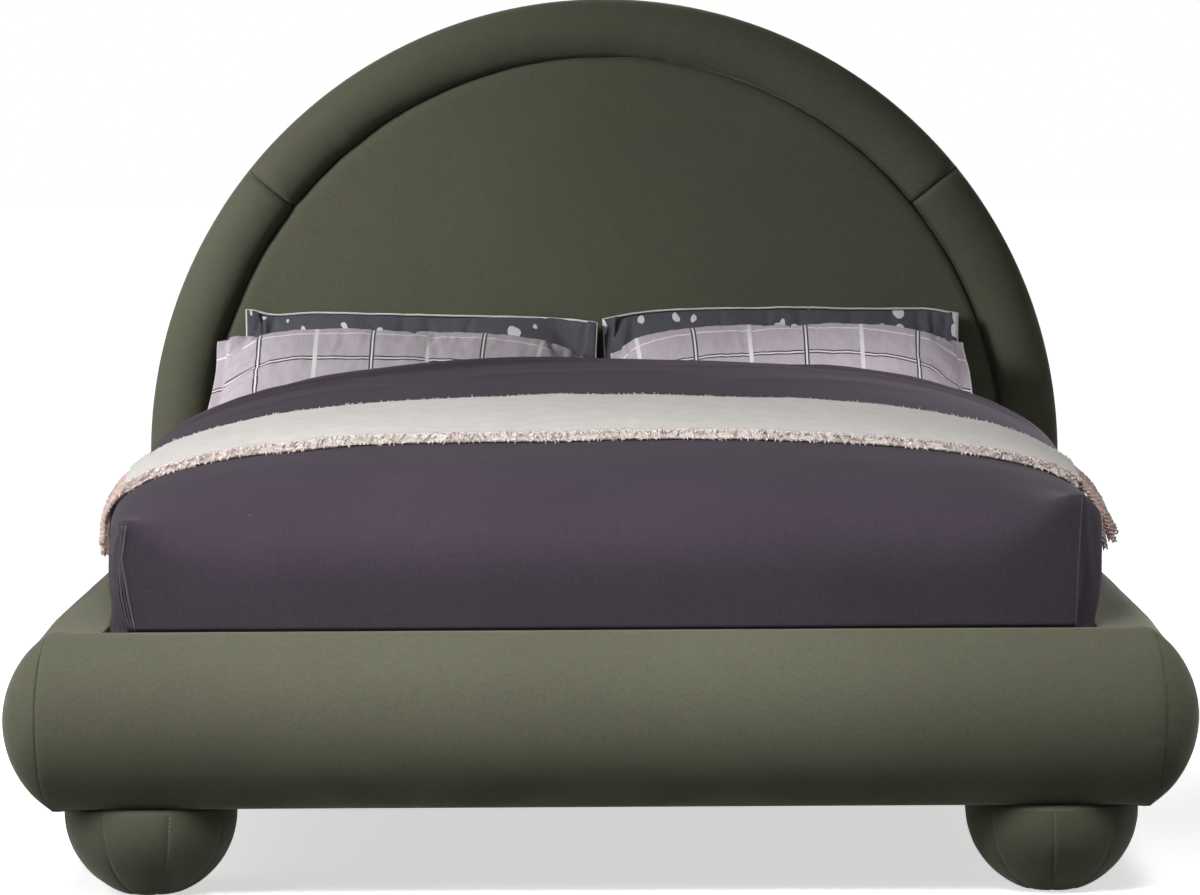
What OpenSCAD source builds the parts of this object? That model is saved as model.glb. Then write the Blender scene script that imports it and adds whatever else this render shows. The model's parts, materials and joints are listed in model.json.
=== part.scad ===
// Upholstered platform bed: an arched headboard, bolster rails and ball feet, with its bedding.
// Millimetres, +Z up, the foot end towards -Y. The origin is on the floor, at the middle of the bed.

/* [Mattress] */
// Width of the mattress
mattress_w = 1524; // [1200:1:1900]
// Length of the mattress
mattress_l = 2032; // [1850:1:2200]
// Height of the mattress
mattress_h = 250; // [200:1:320]
// Radius of the mattress's upright corners
mattress_corner_r = 75; // [50:1:110]
// Depth by which the tape edges stand out from the mattress's border
tape_edge = 3; // [1:0.5:4]
// Gap from the mattress to the side rails and the foot rail
mattress_gap = 15; // [13:1:25]
// Gap from the mattress to the crest of the headboard's roll
head_gap = 10; // [5:1:40]

/* [Rails] */
// Height of the rails
rail_h = 276; // [250:1:310]
// Height of the rails' underside above the floor
rail_clear = 142; // [130:1:160]
// Depth of a rail's flat top
rail_flat = 74; // [60:1:100]
// Depth of a rail's round outer side
rail_bulge = 74; // [60:1:90]
// Thickness of the wooden rail boards
board_t = 24; // [18:1:30]
// Padding over and under the boards
rim_pad = 12; // [8:1:16]
// Padding on the round side
bulge_pad = 25; // [15:1:30]
// Thickness of a plywood former
former_t = 18; // [12:1:24]
// Number of formers in a side rail
side_formers = 5; // [3:1:7]
// Number of formers in the foot rail
foot_formers = 3; // [2:1:5]
// Clearance between a former and the padding
former_fit = 0.5; // [0.3:0.1:1]

/* [Slats] */
// Number of slats
slat_count = 12; // [8:1:12]
// Width of a slat
slat_w = 68; // [50:1:90]
// Thickness of a slat
slat_t = 18; // [12:1:24]
// Height of the slats' top above the rails' underside
slat_seat = 176; // [160:1:190]
// Gap from a slat's end to the side board
slat_end_gap = 5; // [2:1:10]
// Distance from the mattress's end to the middle of the first slat
slat_inset = 45; // [40:1:80]
// Width of a slat ledge
ledge_w = 30; // [25:1:40]
// Height of a slat ledge
ledge_h = 30; // [20:1:34]

/* [Centre support] */
// Width of the centre beam
beam_w = 60; // [50:1:80]
// Height of the centre beam
beam_h = 45; // [40:1:60]
// Thickness of the steel hangers
hanger_t = 3; // [2:0.5:4]
// Length of a hanger's cheeks
hanger_l = 40; // [30:1:60]
// Radius of the centre leg
leg_r = 22; // [16:1:28]
// Gap under the centre leg, bridged by its leveller
leg_lift = 30; // [22:1:40]
// Radius of the leveller's pad
pad_r = 20; // [15:1:28]
// Height of the leveller's pad
pad_h = 8; // [5:1:12]
// Radius of the leveller's stem
stem_r = 5; // [4:0.5:8]
// Length of the leveller's stem
stem_l = 67; // [55:1:80]
// Clearance around the leveller's stem
stem_fit = 0.4; // [0.3:0.1:1]
// Space left above the leveller's stem
stem_room = 10; // [5:1:20]

/* [Headboard] */
// Height of the headboard's top above the floor
head_h = 1434; // [1300:1:1550]
// Width of the headboard
head_w = 1768; // [1760:1:1900]
// Width of the padded roll around the headboard
roll_w = 112; // [100:1:130]
// Depth of the roll
roll_bulge = 45; // [35:1:52]
// Depth of the headboard behind the face of its board
head_depth = 95; // [80:1:120]
// Thickness of the headboard's board
head_board_t = 18; // [15:1:25]
// Thickness of the back cover
back_wall = 6; // [4:1:10]
// Angle from upright at which the roll's seams lie
seam_angle = 51; // [40:1:60]
// Thickness of the inner panel at its edge
panel_edge = 16; // [12:1:20]
// Crown of the inner panel over its edge
panel_crown = 20; // [10:1:24]
// Radius of the inner panel's edge
panel_round = 12; // [8:1:12]
// Gap between the inner panel and the roll
panel_fit = 1; // [0.5:0.5:3]
// Gap between the headboard's padding and the rails
head_pad_fit = 2; // [1:0.5:5]
// Width of a headboard post
post_w = 60; // [45:1:80]
// Height of a headboard post
post_h = 930; // [700:1:1000]
// Distance of a post's middle from the middle of the bed
post_x = 630; // [560:1:650]
// Height of the cross rail between the posts
cross_h = 70; // [45:1:90]
// Height of the cross rail's middle above the posts' foot
cross_up = 560; // [400:1:700]

/* [Feet] */
// Radius of a ball foot
foot_r = 134; // [125:1:140]
// Depth by which a ball foot is flattened on the floor
foot_flat = 6; // [3:1:10]
// Padding around a foot's wooden core
foot_pad = 10; // [8:1:16]
// Thickness of the padding under a foot's core
foot_sole = 8; // [5:1:12]
// Clearance between a foot's core and its cover
foot_fit = 0.5; // [0.3:0.1:1]
// Distance of a foot's middle from the side rail's inner face
foot_in_x = 75; // [60:1:90]
// Distance of a front foot's middle from the foot rail's inner face
foot_in_y = 37; // [30:1:60]
// Distance of a rear foot's middle from the headboard
foot_back_y = 46; // [45:1:60]
// Side of a foot plate
plate_w = 150; // [130:1:180]
// Thickness of a foot plate
plate_t = 24; // [18:1:26]

/* [Fixings] */
// Width of a corner bracket's legs
bracket_w = 60; // [50:1:65]
// Height of a corner bracket
bracket_h = 90; // [80:1:100]
// Thickness of a corner bracket
bracket_t = 4; // [3:0.5:6]
// Distance of the bolts from the bracket's corner
bolt_in = 35; // [30:1:40]
// Distance between a bracket's bolts
bolt_pitch = 46; // [40:1:54]
// Radius of a frame bolt
bolt_r = 4; // [3:0.5:5]
// Thickness of a frame bolt's head and nut
bolt_head_t = 6; // [4:0.5:8]
// Radius of a foot bolt
foot_bolt_r = 5; // [4:0.5:6]
// Length of a foot bolt inside the core
foot_bolt_in = 80; // [50:1:90]
// Radius of a slat screw
screw_r = 2; // [1.5:0.5:3]
// Depth of a slat screw in the ledge
screw_in = 20; // [12:1:26]
// Clearance around bolts and screws
bolt_fit = 0.5; // [0.3:0.1:1]

/* [Duvet] */
// Length of the mattress left bare at the head
duvet_bare = 544; // [520:1:600]
// How far the duvet's face stands in front of the mattress
duvet_front = 35; // [30:1:45]
// Height of the duvet over the mattress at the foot
duvet_foot_rise = 54; // [50:1:80]
// Height of the duvet's crest over the mattress
duvet_crest_rise = 201; // [150:1:230]
// How far the duvet's sides stand out from the mattress at the crest
duvet_side_out = 78; // [60:1:100]
// Radius over which the duvet turns down at the foot
duvet_round = 65; // [60:1:80]
// Depth of the tucked hem under the rails' top
duvet_tuck = 73; // [40:1:85]
// Clearance between the duvet and the mattress
duvet_fit = 3; // [2:0.5:4]
// Depth of the duvet's widest line under the mattress's top
duvet_drop = 38; // [30:1:45]

/* [Throw] */
// Thickness of the throw
throw_t = 13; // [8:1:20]
// Clearance between the throw and the duvet
throw_fit = 4; // [3:0.5:6]
// Length of a fringe tassel
tassel_l = 85; // [50:1:95]
// Number of tassels on each half of a side
tassel_count = 8; // [4:1:10]

/* [Pillows] */
// Width of a pillow
pillow_w = 700; // [560:1:720]
// Length of a pillow from its lower to its upper seam
pillow_l = 480; // [440:1:490]
// Half thickness of a front pillow
front_half = 43; // [30:1:44]
// Half thickness of a back pillow
back_half = 29; // [24:1:31]
// Gap from the duvet to the front pillows
pillow_gap = 14; // [10:1:20]
// Gap between the two front pillows
front_gap = 38; // [10:1:60]
// Gap between the two back pillows
back_gap = 6; // [4:1:60]
// How far the back pillows lie behind the front ones
pillow_step = 186; // [182:1:190]
// Half thickness of a pillow's seam
seam_half = 1.5; // [1:0.5:3]
// How far a pillow's sides are drawn in between its corners
pillow_draw = 12; // [5:1:20]
// How far a front pillow's corners droop
pillow_droop = 16; // [0:1:18]

/* [Hidden] */
$fn = 96;

// The bed's length and the places along it
bed_l = rail_bulge + rail_flat + mattress_gap + mattress_l + head_gap + roll_bulge + head_depth;
front_y = -bed_l / 2;
flat_y = front_y + rail_bulge;
foot_y = flat_y + rail_flat;
mattress_y0 = foot_y + mattress_gap;
mattress_y1 = mattress_y0 + mattress_l;
board_y = mattress_y1 + head_gap + roll_bulge;

// The places across the bed
rail_x = mattress_w / 2 + mattress_gap;
flat_x = rail_x + rail_flat;

// The heights
rail_top = rail_clear + rail_h;
slat_top = rail_clear + slat_seat;
slat_z = slat_top - slat_t;
mattress_top = slat_top + mattress_h;
beam_z = slat_z - beam_h;

// The rail's outline: a flat top and bottom, and an arc outside
bulge_r = (pow(rail_h / 2, 2) + pow(rail_bulge, 2)) / (2 * rail_bulge);
bulge_x = rail_flat + rail_bulge - bulge_r;
cut = 1;

// The headboard's arch
arch_r = head_w / 2;
arch_z = head_h - arch_r;
panel_r = arch_r - roll_w - panel_fit;
roll_r = (pow(roll_w / 2, 2) + pow(roll_bulge, 2)) / (2 * roll_bulge);
pad_bottom = rail_top + head_pad_fit;

// The feet
foot_z = foot_r - foot_flat;
core_r = foot_r - foot_pad;
foot_x = rail_x - foot_in_x;
front_foot_y = foot_y + foot_in_y;
back_foot_y = board_y - foot_back_y;
bracket_z = rail_clear + plate_t;
bolt_heights = [for (s = [-1, 1]) bracket_z + bracket_h / 2 + s * bolt_pitch / 2];

slat_ys = [
    for (i = [0:slat_count - 1])
        mattress_y0 + slat_inset + i * (mattress_l - 2 * slat_inset) / (slat_count - 1)
];

ends = ["front", "back"];
sides = ["left", "right"];
function side_sign(s) = s == "left" ? -1 : 1;
function foot_at(e, s) = [side_sign(s) * foot_x, e == "front" ? front_foot_y : back_foot_y, 0];
leg_y = (foot_y + board_y) / 2;

velvet = [0.36, 0.36, 0.30];
pine = [0.80, 0.66, 0.46];
plywood = [0.74, 0.60, 0.42];
steel = [0.62, 0.63, 0.65];
rubber = [0.12, 0.12, 0.12];
ticking = [0.90, 0.89, 0.86];
duvet_cotton = [0.29, 0.26, 0.31];
throw_wool = [0.84, 0.81, 0.78];
fringe_wool = [0.72, 0.58, 0.54];
check_cotton = [0.72, 0.69, 0.74];
slate_cotton = [0.25, 0.26, 0.31];

function mix(a, b, k) = a * (1 - k) + b * k;
function clamp01(k) = max(0, min(1, k));

// Mirrors a shape drawn on the right-hand side to the side named s.
module on_side(s) {
    mirror([s == "left" ? 1 : 0, 0, 0]) children();
}

// Runs an outline of a rail, drawn outwards from its inner face, along Y.
module rail_bar(inner, from, to) {
    translate([inner, to, rail_clear]) rotate([90, 0, 0]) linear_extrude(to - from) children();
}

// Turns a rail drawn on the right-hand side into the foot rail.
module as_foot_rail() {
    rotate([0, 0, -90]) children();
}

module bulge_circle(inset) {
    translate([bulge_x, rail_h / 2]) circle(bulge_r - inset, $fn = 180);
}

module rail_outline() {
    square([rail_flat, rail_h]);
    intersection() {
        bulge_circle(0);
        translate([rail_flat, 0]) square([rail_bulge, rail_h]);
    }
}

module hollow_outline(fit) {
    intersection() {
        bulge_circle(bulge_pad + fit);
        translate([board_t - cut, rim_pad]) square([rail_flat + rail_bulge, rail_h - 2 * rim_pad]);
    }
}

module board_slot() {
    translate([-cut, rim_pad]) square([board_t + cut, rail_h - 2 * rim_pad]);
}

// The foot rail's cover in plan: it meets the side covers at mitres inside and at upright seams outside.
module foot_plan() {
    polygon([
        [-flat_x, front_y - cut], [flat_x, front_y - cut], [flat_x, flat_y],
        [rail_x, foot_y + cut], [-rail_x, foot_y + cut], [-flat_x, flat_y]
    ]);
}

module side_rail_cover() {
    difference() {
        union() {
            rail_bar(rail_x, flat_y, board_y) rail_outline();
            translate([flat_x, flat_y, rail_clear]) rotate([0, 0, -90]) rotate_extrude(angle = 90)
                intersection() {
                    translate([-rail_flat, 0]) bulge_circle(0);
                    square([rail_bulge, rail_h]);
                }
        }
        rail_bar(rail_x, foot_y - board_t, board_y - rim_pad) hollow_outline(0);
        rail_bar(rail_x, foot_y - board_t, board_y + cut) board_slot();
        translate([0, 0, rail_clear - cut]) linear_extrude(rail_h + 2 * cut) foot_plan();
    }
}

module foot_rail_cover() {
    hollow_end = rail_x + board_t;
    difference() {
        intersection() {
            as_foot_rail() rail_bar(-foot_y, -flat_x, flat_x) rail_outline();
            translate([0, 0, rail_clear]) linear_extrude(rail_h) foot_plan();
        }
        as_foot_rail() rail_bar(-foot_y, -hollow_end, hollow_end) hollow_outline(0);
        as_foot_rail() rail_bar(-foot_y, -hollow_end, hollow_end) board_slot();
    }
}

module rail_former() {
    rotate([90, 0, 0]) linear_extrude(former_t, center = true) intersection() {
        hollow_outline(former_fit);
        translate([board_t, 0]) square([rail_flat + rail_bulge, rail_h]);
    }
}

module rail_formers() {
    side_step = (board_y - foot_y) / (side_formers + 1);
    foot_step = 2 * rail_x / (foot_formers + 1);
    for (s = sides) for (i = [1:side_formers])
        on_side(s) translate([rail_x, foot_y + i * side_step, rail_clear]) rail_former();
    for (i = [1:foot_formers])
        as_foot_rail() translate([-foot_y, i * foot_step - rail_x, rail_clear]) rail_former();
}

// Holes for a bracket's bolts along X through whatever ends at the rail's inner face.
module side_bolt_holes(depth) {
    for (y = [foot_y + bolt_in, board_y - bolt_in]) for (z = bolt_heights)
        translate([rail_x - bracket_t - cut, y, z]) rotate([0, 90, 0])
            cylinder(r = bolt_r + bolt_fit, h = bracket_t + depth + 2 * cut);
}

// Holes for a bracket's bolts along Y, through the foot rail's board and the headboard's board.
module end_bolt_holes() {
    deep = board_t + head_board_t + 2 * bracket_t;
    for (x = [-1, 1] * (rail_x - bolt_in)) for (y = [foot_y, board_y]) for (z = bolt_heights)
        translate([x, y + deep, z]) rotate([90, 0, 0]) cylinder(r = bolt_r + bolt_fit, h = 2 * deep);
}

module side_rail_board() {
    difference() {
        translate([rail_x, foot_y - board_t, rail_clear + rim_pad])
            cube([board_t, board_y - foot_y + board_t, rail_h - 2 * rim_pad]);
        side_bolt_holes(board_t);
    }
}

module foot_rail_board() {
    difference() {
        translate([-rail_x, foot_y - board_t, rail_clear + rim_pad])
            cube([2 * rail_x, board_t, rail_h - 2 * rim_pad]);
        end_bolt_holes();
    }
}

module slat_ledge() {
    difference() {
        translate([rail_x - ledge_w, foot_y, slat_z - ledge_h]) cube([ledge_w, board_y - foot_y, ledge_h]);
        for (y = slat_ys)
            translate([rail_x - ledge_w / 2, y, slat_z - screw_in - bolt_fit])
                cylinder(r = screw_r + bolt_fit, h = screw_in + bolt_fit + cut, $fn = 24);
    }
}

module slat(y) {
    half = rail_x - slat_end_gap;
    difference() {
        translate([-half, y - slat_w / 2, slat_z]) cube([2 * half, slat_w, slat_t]);
        for (s = [-1, 1])
            translate([s * (rail_x - ledge_w / 2), y, slat_z - cut])
                cylinder(r = screw_r + bolt_fit, h = slat_t + 2 * cut, $fn = 24);
        for (s = [-1, 1])
            translate([s * (rail_x - ledge_w / 2), y, slat_top - screw_r - bolt_fit])
                cylinder(r = 2 * screw_r + bolt_fit, h = screw_r + bolt_fit + cut, $fn = 24);
    }
}

module slat_screws() {
    for (s = [-1, 1]) for (y = slat_ys) translate([s * (rail_x - ledge_w / 2), y, 0]) {
        translate([0, 0, slat_z - screw_in]) cylinder(r = screw_r, h = screw_in + slat_t - screw_r, $fn = 24);
        translate([0, 0, slat_top - screw_r - bolt_fit]) cylinder(r = 2 * screw_r, h = screw_r, $fn = 24);
    }
}

// The bracket at the corner where the rail board meets the end board at y, facing inwards along dir.
module corner_bracket(y, dir) {
    difference() {
        union() {
            translate([rail_x - bracket_t, min(y, y + dir * bracket_w), bracket_z])
                cube([bracket_t, bracket_w, bracket_h]);
            translate([rail_x - bracket_w, min(y, y + dir * bracket_t), bracket_z])
                cube([bracket_w, bracket_t, bracket_h]);
        }
        side_bolt_holes(0);
        end_bolt_holes();
    }
}

// A bolt along +Z from its head's seat, with its nut past the thickness that it clamps.
module bolt_and_nut(r, grip) {
    translate([0, 0, -bolt_head_t]) cylinder(r = 1.8 * r, h = bolt_head_t, $fn = 6);
    cylinder(r = r, h = grip + bolt_head_t + 2);
    translate([0, 0, grip]) cylinder(r = 1.8 * r, h = bolt_head_t, $fn = 6);
}

module frame_bolts() {
    for (s = sides) on_side(s) for (z = bolt_heights) {
        for (y = [foot_y + bolt_in, board_y - bolt_in])
            translate([rail_x - bracket_t, y, z]) rotate([0, 90, 0]) bolt_and_nut(bolt_r, bracket_t + board_t);
        translate([rail_x - bolt_in, foot_y + bracket_t, z]) rotate([90, 0, 0])
            bolt_and_nut(bolt_r, bracket_t + board_t);
        translate([rail_x - bolt_in, board_y - bracket_t, z]) rotate([-90, 0, 0])
            bolt_and_nut(bolt_r, bracket_t + head_board_t);
    }
}

module foot_plates() {
    for (s = sides) on_side(s) for (e = [[foot_y, front_foot_y], [board_y - plate_w, back_foot_y]])
        difference() {
            translate([rail_x - plate_w, e[0], rail_clear]) cube([plate_w, plate_w, plate_t]);
            translate([foot_x, e[1], rail_clear - cut])
                cylinder(r = foot_bolt_r + bolt_fit, h = plate_t + 2 * cut);
        }
}

module foot_ball(r, from) {
    intersection() {
        translate([0, 0, foot_z]) sphere(r);
        translate([-foot_r, -foot_r, from]) cube([2 * foot_r, 2 * foot_r, rail_clear - from]);
    }
}

module foot_core() {
    difference() {
        foot_ball(core_r, foot_sole);
        translate([0, 0, rail_clear - foot_bolt_in - bolt_fit])
            cylinder(r = foot_bolt_r + bolt_fit, h = foot_bolt_in + bolt_fit + cut);
    }
}

module foot_cover() {
    difference() {
        foot_ball(foot_r, 0);
        intersection() {
            translate([0, 0, foot_z]) sphere(core_r + foot_fit);
            translate([-foot_r, -foot_r, foot_sole]) cube([2 * foot_r, 2 * foot_r, rail_clear]);
        }
    }
}

module foot_bolts() {
    for (s = [-1, 1]) for (y = [front_foot_y, back_foot_y]) translate([s * foot_x, y, 0]) {
        translate([0, 0, rail_clear - foot_bolt_in]) cylinder(r = foot_bolt_r, h = foot_bolt_in + plate_t);
        translate([0, 0, rail_clear + plate_t]) cylinder(r = 1.8 * foot_bolt_r, h = bolt_head_t, $fn = 6);
    }
}

module centre_beam() {
    translate([-beam_w / 2, foot_y + hanger_t, beam_z])
        cube([beam_w, board_y - foot_y - 2 * hanger_t, beam_h]);
}

// A steel saddle on the foot rail's board, open towards +Y.
module beam_hanger() {
    wide = beam_w + 2 * hanger_t;
    translate([-wide / 2, 0, beam_z - hanger_t]) difference() {
        cube([wide, hanger_t + hanger_l, beam_h + hanger_t]);
        translate([hanger_t, hanger_t, hanger_t]) cube([beam_w, hanger_l + cut, beam_h + cut]);
    }
}

module beam_hangers() {
    translate([0, foot_y, 0]) beam_hanger();
    translate([0, board_y, 0]) rotate([0, 0, 180]) beam_hanger();
}

module centre_leg() {
    translate([0, leg_y, 0]) difference() {
        translate([0, 0, leg_lift]) cylinder(r = leg_r, h = beam_z - leg_lift);
        translate([0, 0, leg_lift - cut])
            cylinder(r = stem_r + stem_fit, h = pad_h + stem_l + stem_room - leg_lift + cut);
    }
}

module leveller() {
    translate([0, leg_y, 0]) cylinder(r = pad_r, h = pad_h);
    translate([0, leg_y, pad_h]) cylinder(r = stem_r, h = stem_l);
}

// Puts shapes drawn in the headboard's face, about the arch's centre, in place; +Z there is forwards.
module on_headboard() {
    translate([0, board_y, arch_z]) rotate([90, 0, 0]) children();
}

module arch_outline(r, bottom) {
    intersection() {
        circle(r, $fn = 360);
        translate([-r, 0]) square([2 * r, r]);
    }
    translate([-r, bottom - arch_z]) square([2 * r, arch_z - bottom]);
}

module headboard_board() {
    difference() {
        on_headboard() translate([0, 0, -head_board_t]) linear_extrude(head_board_t)
            arch_outline(arch_r - back_wall, rail_clear + back_wall);
        end_bolt_holes();
    }
}

module headboard_back_cover() {
    on_headboard() difference() {
        translate([0, 0, -head_depth]) linear_extrude(head_depth) arch_outline(arch_r, rail_clear);
        translate([0, 0, back_wall - head_depth]) linear_extrude(head_depth)
            arch_outline(arch_r - back_wall, rail_clear + back_wall);
    }
}

module headboard_post() {
    translate([post_x - post_w / 2, board_y + head_board_t, rail_clear + back_wall])
        cube([post_w, head_depth - head_board_t - back_wall, post_h]);
}

module headboard_cross_rail() {
    half = post_x - post_w / 2;
    translate([-half, board_y + head_board_t, rail_clear + back_wall + cross_up - cross_h / 2])
        cube([2 * half, head_depth - head_board_t - back_wall, cross_h]);
}

// The roll's section: its foot lies on the board from the inner to the outer edge of the roll.
module roll_outline() {
    intersection() {
        translate([arch_r - roll_w / 2, roll_bulge - roll_r]) circle(roll_r, $fn = 120);
        translate([arch_r - roll_w, 0]) square([roll_w, roll_bulge + cut]);
    }
}

module headboard_roll_top() {
    on_headboard() rotate([0, 0, 90 - seam_angle]) rotate_extrude(angle = 2 * seam_angle, $fn = 240)
        roll_outline();
}

module headboard_roll_side() {
    on_headboard() {
        rotate_extrude(angle = 90 - seam_angle, $fn = 240) roll_outline();
        rotate([90, 0, 0]) linear_extrude(arch_z - pad_bottom) roll_outline();
    }
}

// Half of the inner panel's section, from its middle out: a shallow crown and a rounded edge.
function crown_at(x) = panel_edge + panel_crown * (1 - pow(x / panel_r, 2));
panel_half = concat(
    [[0, 0]],
    [for (i = [0:10]) let (x = (panel_r - panel_round) * i / 10) [x, crown_at(x)]],
    [for (a = [75:-15:0]) [panel_r - panel_round + panel_round * cos(a),
        crown_at(panel_r - panel_round) - panel_round + panel_round * sin(a)]],
    [[panel_r, 0]]
);

module headboard_panel() {
    on_headboard() {
        rotate_extrude(angle = 180, $fn = 240) polygon(panel_half);
        rotate([90, 0, 0]) linear_extrude(arch_z - pad_bottom) {
            polygon(panel_half);
            mirror([1, 0]) polygon(panel_half);
        }
    }
}

module rounded_block(inset, from, to) {
    r = mattress_corner_r - inset;
    half_w = mattress_w / 2 - inset;
    translate([0, 0, from]) linear_extrude(to - from) {
        for (x = [-1, 1]) for (y = [mattress_y0 + inset + r, mattress_y1 - inset - r])
            translate([x * (half_w - r), y]) circle(r);
        translate([-half_w, mattress_y0 + inset + r]) square([2 * half_w, mattress_l - 2 * (inset + r)]);
        translate([r - half_w, mattress_y0 + inset]) square([2 * (half_w - r), mattress_l - 2 * inset]);
    }
}

module mattress() {
    tape_h = 4 * tape_edge;
    rounded_block(tape_edge, slat_top, mattress_top);
    rounded_block(0, slat_top + tape_h, slat_top + 2 * tape_h);
    rounded_block(0, mattress_top - 2 * tape_h, mattress_top - tape_h);
}

// The duvet: k runs from 0 at the foot to 1 at its head end, and u from -1 to 1 across it.
duvet_y0 = mattress_y0 - duvet_front;
duvet_l = mattress_y1 - duvet_bare - duvet_y0;
duvet_side_z = mattress_top - duvet_drop;
rail_fit = 3;
duvet_crest = 0.942;
throw_from = 0.2528;
throw_to = 0.5286;

function duvet_k(y) = (y - duvet_y0) / duvet_l;
function duvet_y(k) = duvet_y0 + k * duvet_l;

// How high the middle of the duvet stands over the mattress
function duvet_rise(k) = duvet_foot_rise + (duvet_crest_rise - duvet_foot_rise) *
    lookup(k, [[0, 0], [throw_from, 0.37], [throw_to, 0.67], [duvet_crest, 1], [0.975, 0.88], [1, 0.64]]);

// Half the duvet's width: narrow at the foot's corners, then full
function duvet_half(k) = mattress_w / 2 + duvet_side_out *
    lookup(k, [[0, -0.13], [0.065, 0.38], [throw_from, 0.53], [throw_to, 0.77], [duvet_crest, 1], [1, 0.97]]);

// How square the duvet's section is: flat and sharp at the foot, round at the crest
function duvet_power(k) = lookup(k, [[0, 5], [throw_from, 2.9], [throw_to, 2.6], [duvet_crest, 2.5]]);

function falloff(u, n) = pow(1 - pow(clamp01(abs(u)), n), 1 / n);
function foot_turn(y) = falloff((duvet_y0 + duvet_round - y) / duvet_round * (y < duvet_y0 + duvet_round ? 1 : 0), 2.5);
function duvet_z(x, y) = let (k = duvet_k(y))
    duvet_side_z + (duvet_rise(k) + mattress_top - duvet_side_z)
        * falloff(x / duvet_half(k), duvet_power(k)) * foot_turn(y);

// Where the duvet's mesh lines lie, across it and from its head end to its foot
half_lines = [0.92, 0.86, 0.75, 0.6, 0.4, 0.2];
u_lines = concat(half_lines, [0], [for (i = [len(half_lines) - 1:-1:0]) -half_lines[i]]);
k_lines = [1, 0.975, duvet_crest, 0.88, 0.78, 0.66, throw_to, (throw_from + throw_to) / 2, throw_from, 0.17, 0.11, 0.066];
y_lines = concat([for (k = k_lines) duvet_y(k)], [duvet_y0 + duvet_round]);
nu = len(u_lines) - 1;
ny = len(y_lines) - 1;

// The border of that mesh, from the head end down the right side, over the foot and up the left side
border = concat(
    [for (j = [0:ny]) [0, j]],
    [for (i = [1:nu]) [i, ny]],
    [for (j = [ny - 1:-1:0]) [nu, j]]
);
nb = len(border);

// Rows outside the border: the first ones hang below the duvet's widest line, the rest turn over it
hang_rows = [[1, -1], [1, 0.05], [0.8, 0.11], [0.35, 0.28], [0.05, 0.6]];
turn_rows = [0, 0.12, 0.4];
nr = len(hang_rows) + len(turn_rows);

function hang_z(h) = h < 0 ? rail_top - duvet_tuck : mix(rail_top, duvet_side_z, h);
function is_side(i) = i == 0 || i == nu;

function outer_grid(i, j) = let (x = u_lines[i] * duvet_half(duvet_k(y_lines[j])))
    [x, y_lines[j], duvet_z(x, y_lines[j])];
function outer_edge(i, j) = let (y = j == ny ? duvet_y0 : y_lines[j])
    [u_lines[i] / u_lines[0] * duvet_half(duvet_k(y)), y];
function tuck_edge(i, j) =
    [u_lines[i] / u_lines[0] * (rail_x - rail_fit), j == ny ? foot_y + rail_fit : y_lines[j]];
function outer_row(r, i, j) = r < len(hang_rows)
    ? concat(mix(outer_edge(i, j), tuck_edge(i, j), hang_rows[r][0]), hang_z(hang_rows[r][1]))
    : let (g = outer_grid(i, j), p = mix(outer_edge(i, j), [g[0], g[1]], turn_rows[r - len(hang_rows)]))
        [p[0], p[1], duvet_z(p[0], p[1])];

inner_half = mattress_w / 2 + duvet_fit + 1;
inner_y0 = mattress_y0 - duvet_fit - 1;
inner_turn = (mattress_corner_r + 14) * cos(45) - mattress_corner_r;
function inner_grid(i, j) = [u_lines[i] * inner_half, y_lines[j], mattress_top + duvet_fit];
function inner_edge(i, j) = j < ny ? [sign(u_lines[i]) * inner_half, y_lines[j]]
    : is_side(i) ? [sign(u_lines[i]) * (mattress_w / 2 + inner_turn), mattress_y0 - inner_turn]
    : [u_lines[i] / u_lines[0] * inner_half, inner_y0];
function inner_row(r, i, j) = r < len(hang_rows)
    ? concat(inner_edge(i, j), hang_z(hang_rows[r][1]))
    : let (g = inner_grid(i, j), p = mix(inner_edge(i, j), [g[0], g[1]], turn_rows[r - len(hang_rows)]))
        [p[0], p[1], mattress_top + duvet_fit];

duvet_points = concat(
    [for (r = [0:nr - 1]) for (b = border) outer_row(r, b[0], b[1])],
    [for (i = [0:nu]) for (j = [0:ny]) outer_grid(i, j)],
    [for (r = [0:nr - 1]) for (b = border) inner_row(r, b[0], b[1])],
    [for (i = [0:nu]) for (j = [0:ny]) inner_grid(i, j)]
);
layer = nr * nb + (nu + 1) * (ny + 1);
function grid_at(i, j) = nr * nb + i * (ny + 1) + j;
function row_at(r, b) = r < nr ? r * nb + b : grid_at(border[b][0], border[b][1]);
function two_triangles(a, b, c, d) = [[a, b, c], [a, c, d]];
function flip(faces, by) = [for (f = faces) [f[2] + by, f[1] + by, f[0] + by]];

outer_faces = concat(
    [for (r = [0:nr - 1]) for (b = [0:nb - 2])
        for (f = two_triangles(row_at(r, b), row_at(r + 1, b), row_at(r + 1, b + 1), row_at(r, b + 1))) f],
    [for (i = [0:nu - 1]) for (j = [0:ny - 1])
        for (f = two_triangles(grid_at(i, j), grid_at(i + 1, j), grid_at(i + 1, j + 1), grid_at(i, j + 1))) f]
);
// The loop around the sheet: along the hem, then back over the head end
rim = concat(
    [for (b = [0:nb - 1]) row_at(0, b)],
    [for (r = [1:nr]) row_at(r, nb - 1)],
    [for (i = [nu - 1:-1:0]) grid_at(i, 0)],
    [for (r = [nr - 1:-1:1]) row_at(r, 0)]
);
rim_faces = [for (n = [0:len(rim) - 1]) let (a = rim[n], b = rim[(n + 1) % len(rim)])
    for (f = two_triangles(a, b, b + layer, a + layer)) f];

module duvet() {
    polyhedron(duvet_points, concat(outer_faces, flip(outer_faces, layer), rim_faces), convexity = 8);
}

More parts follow.
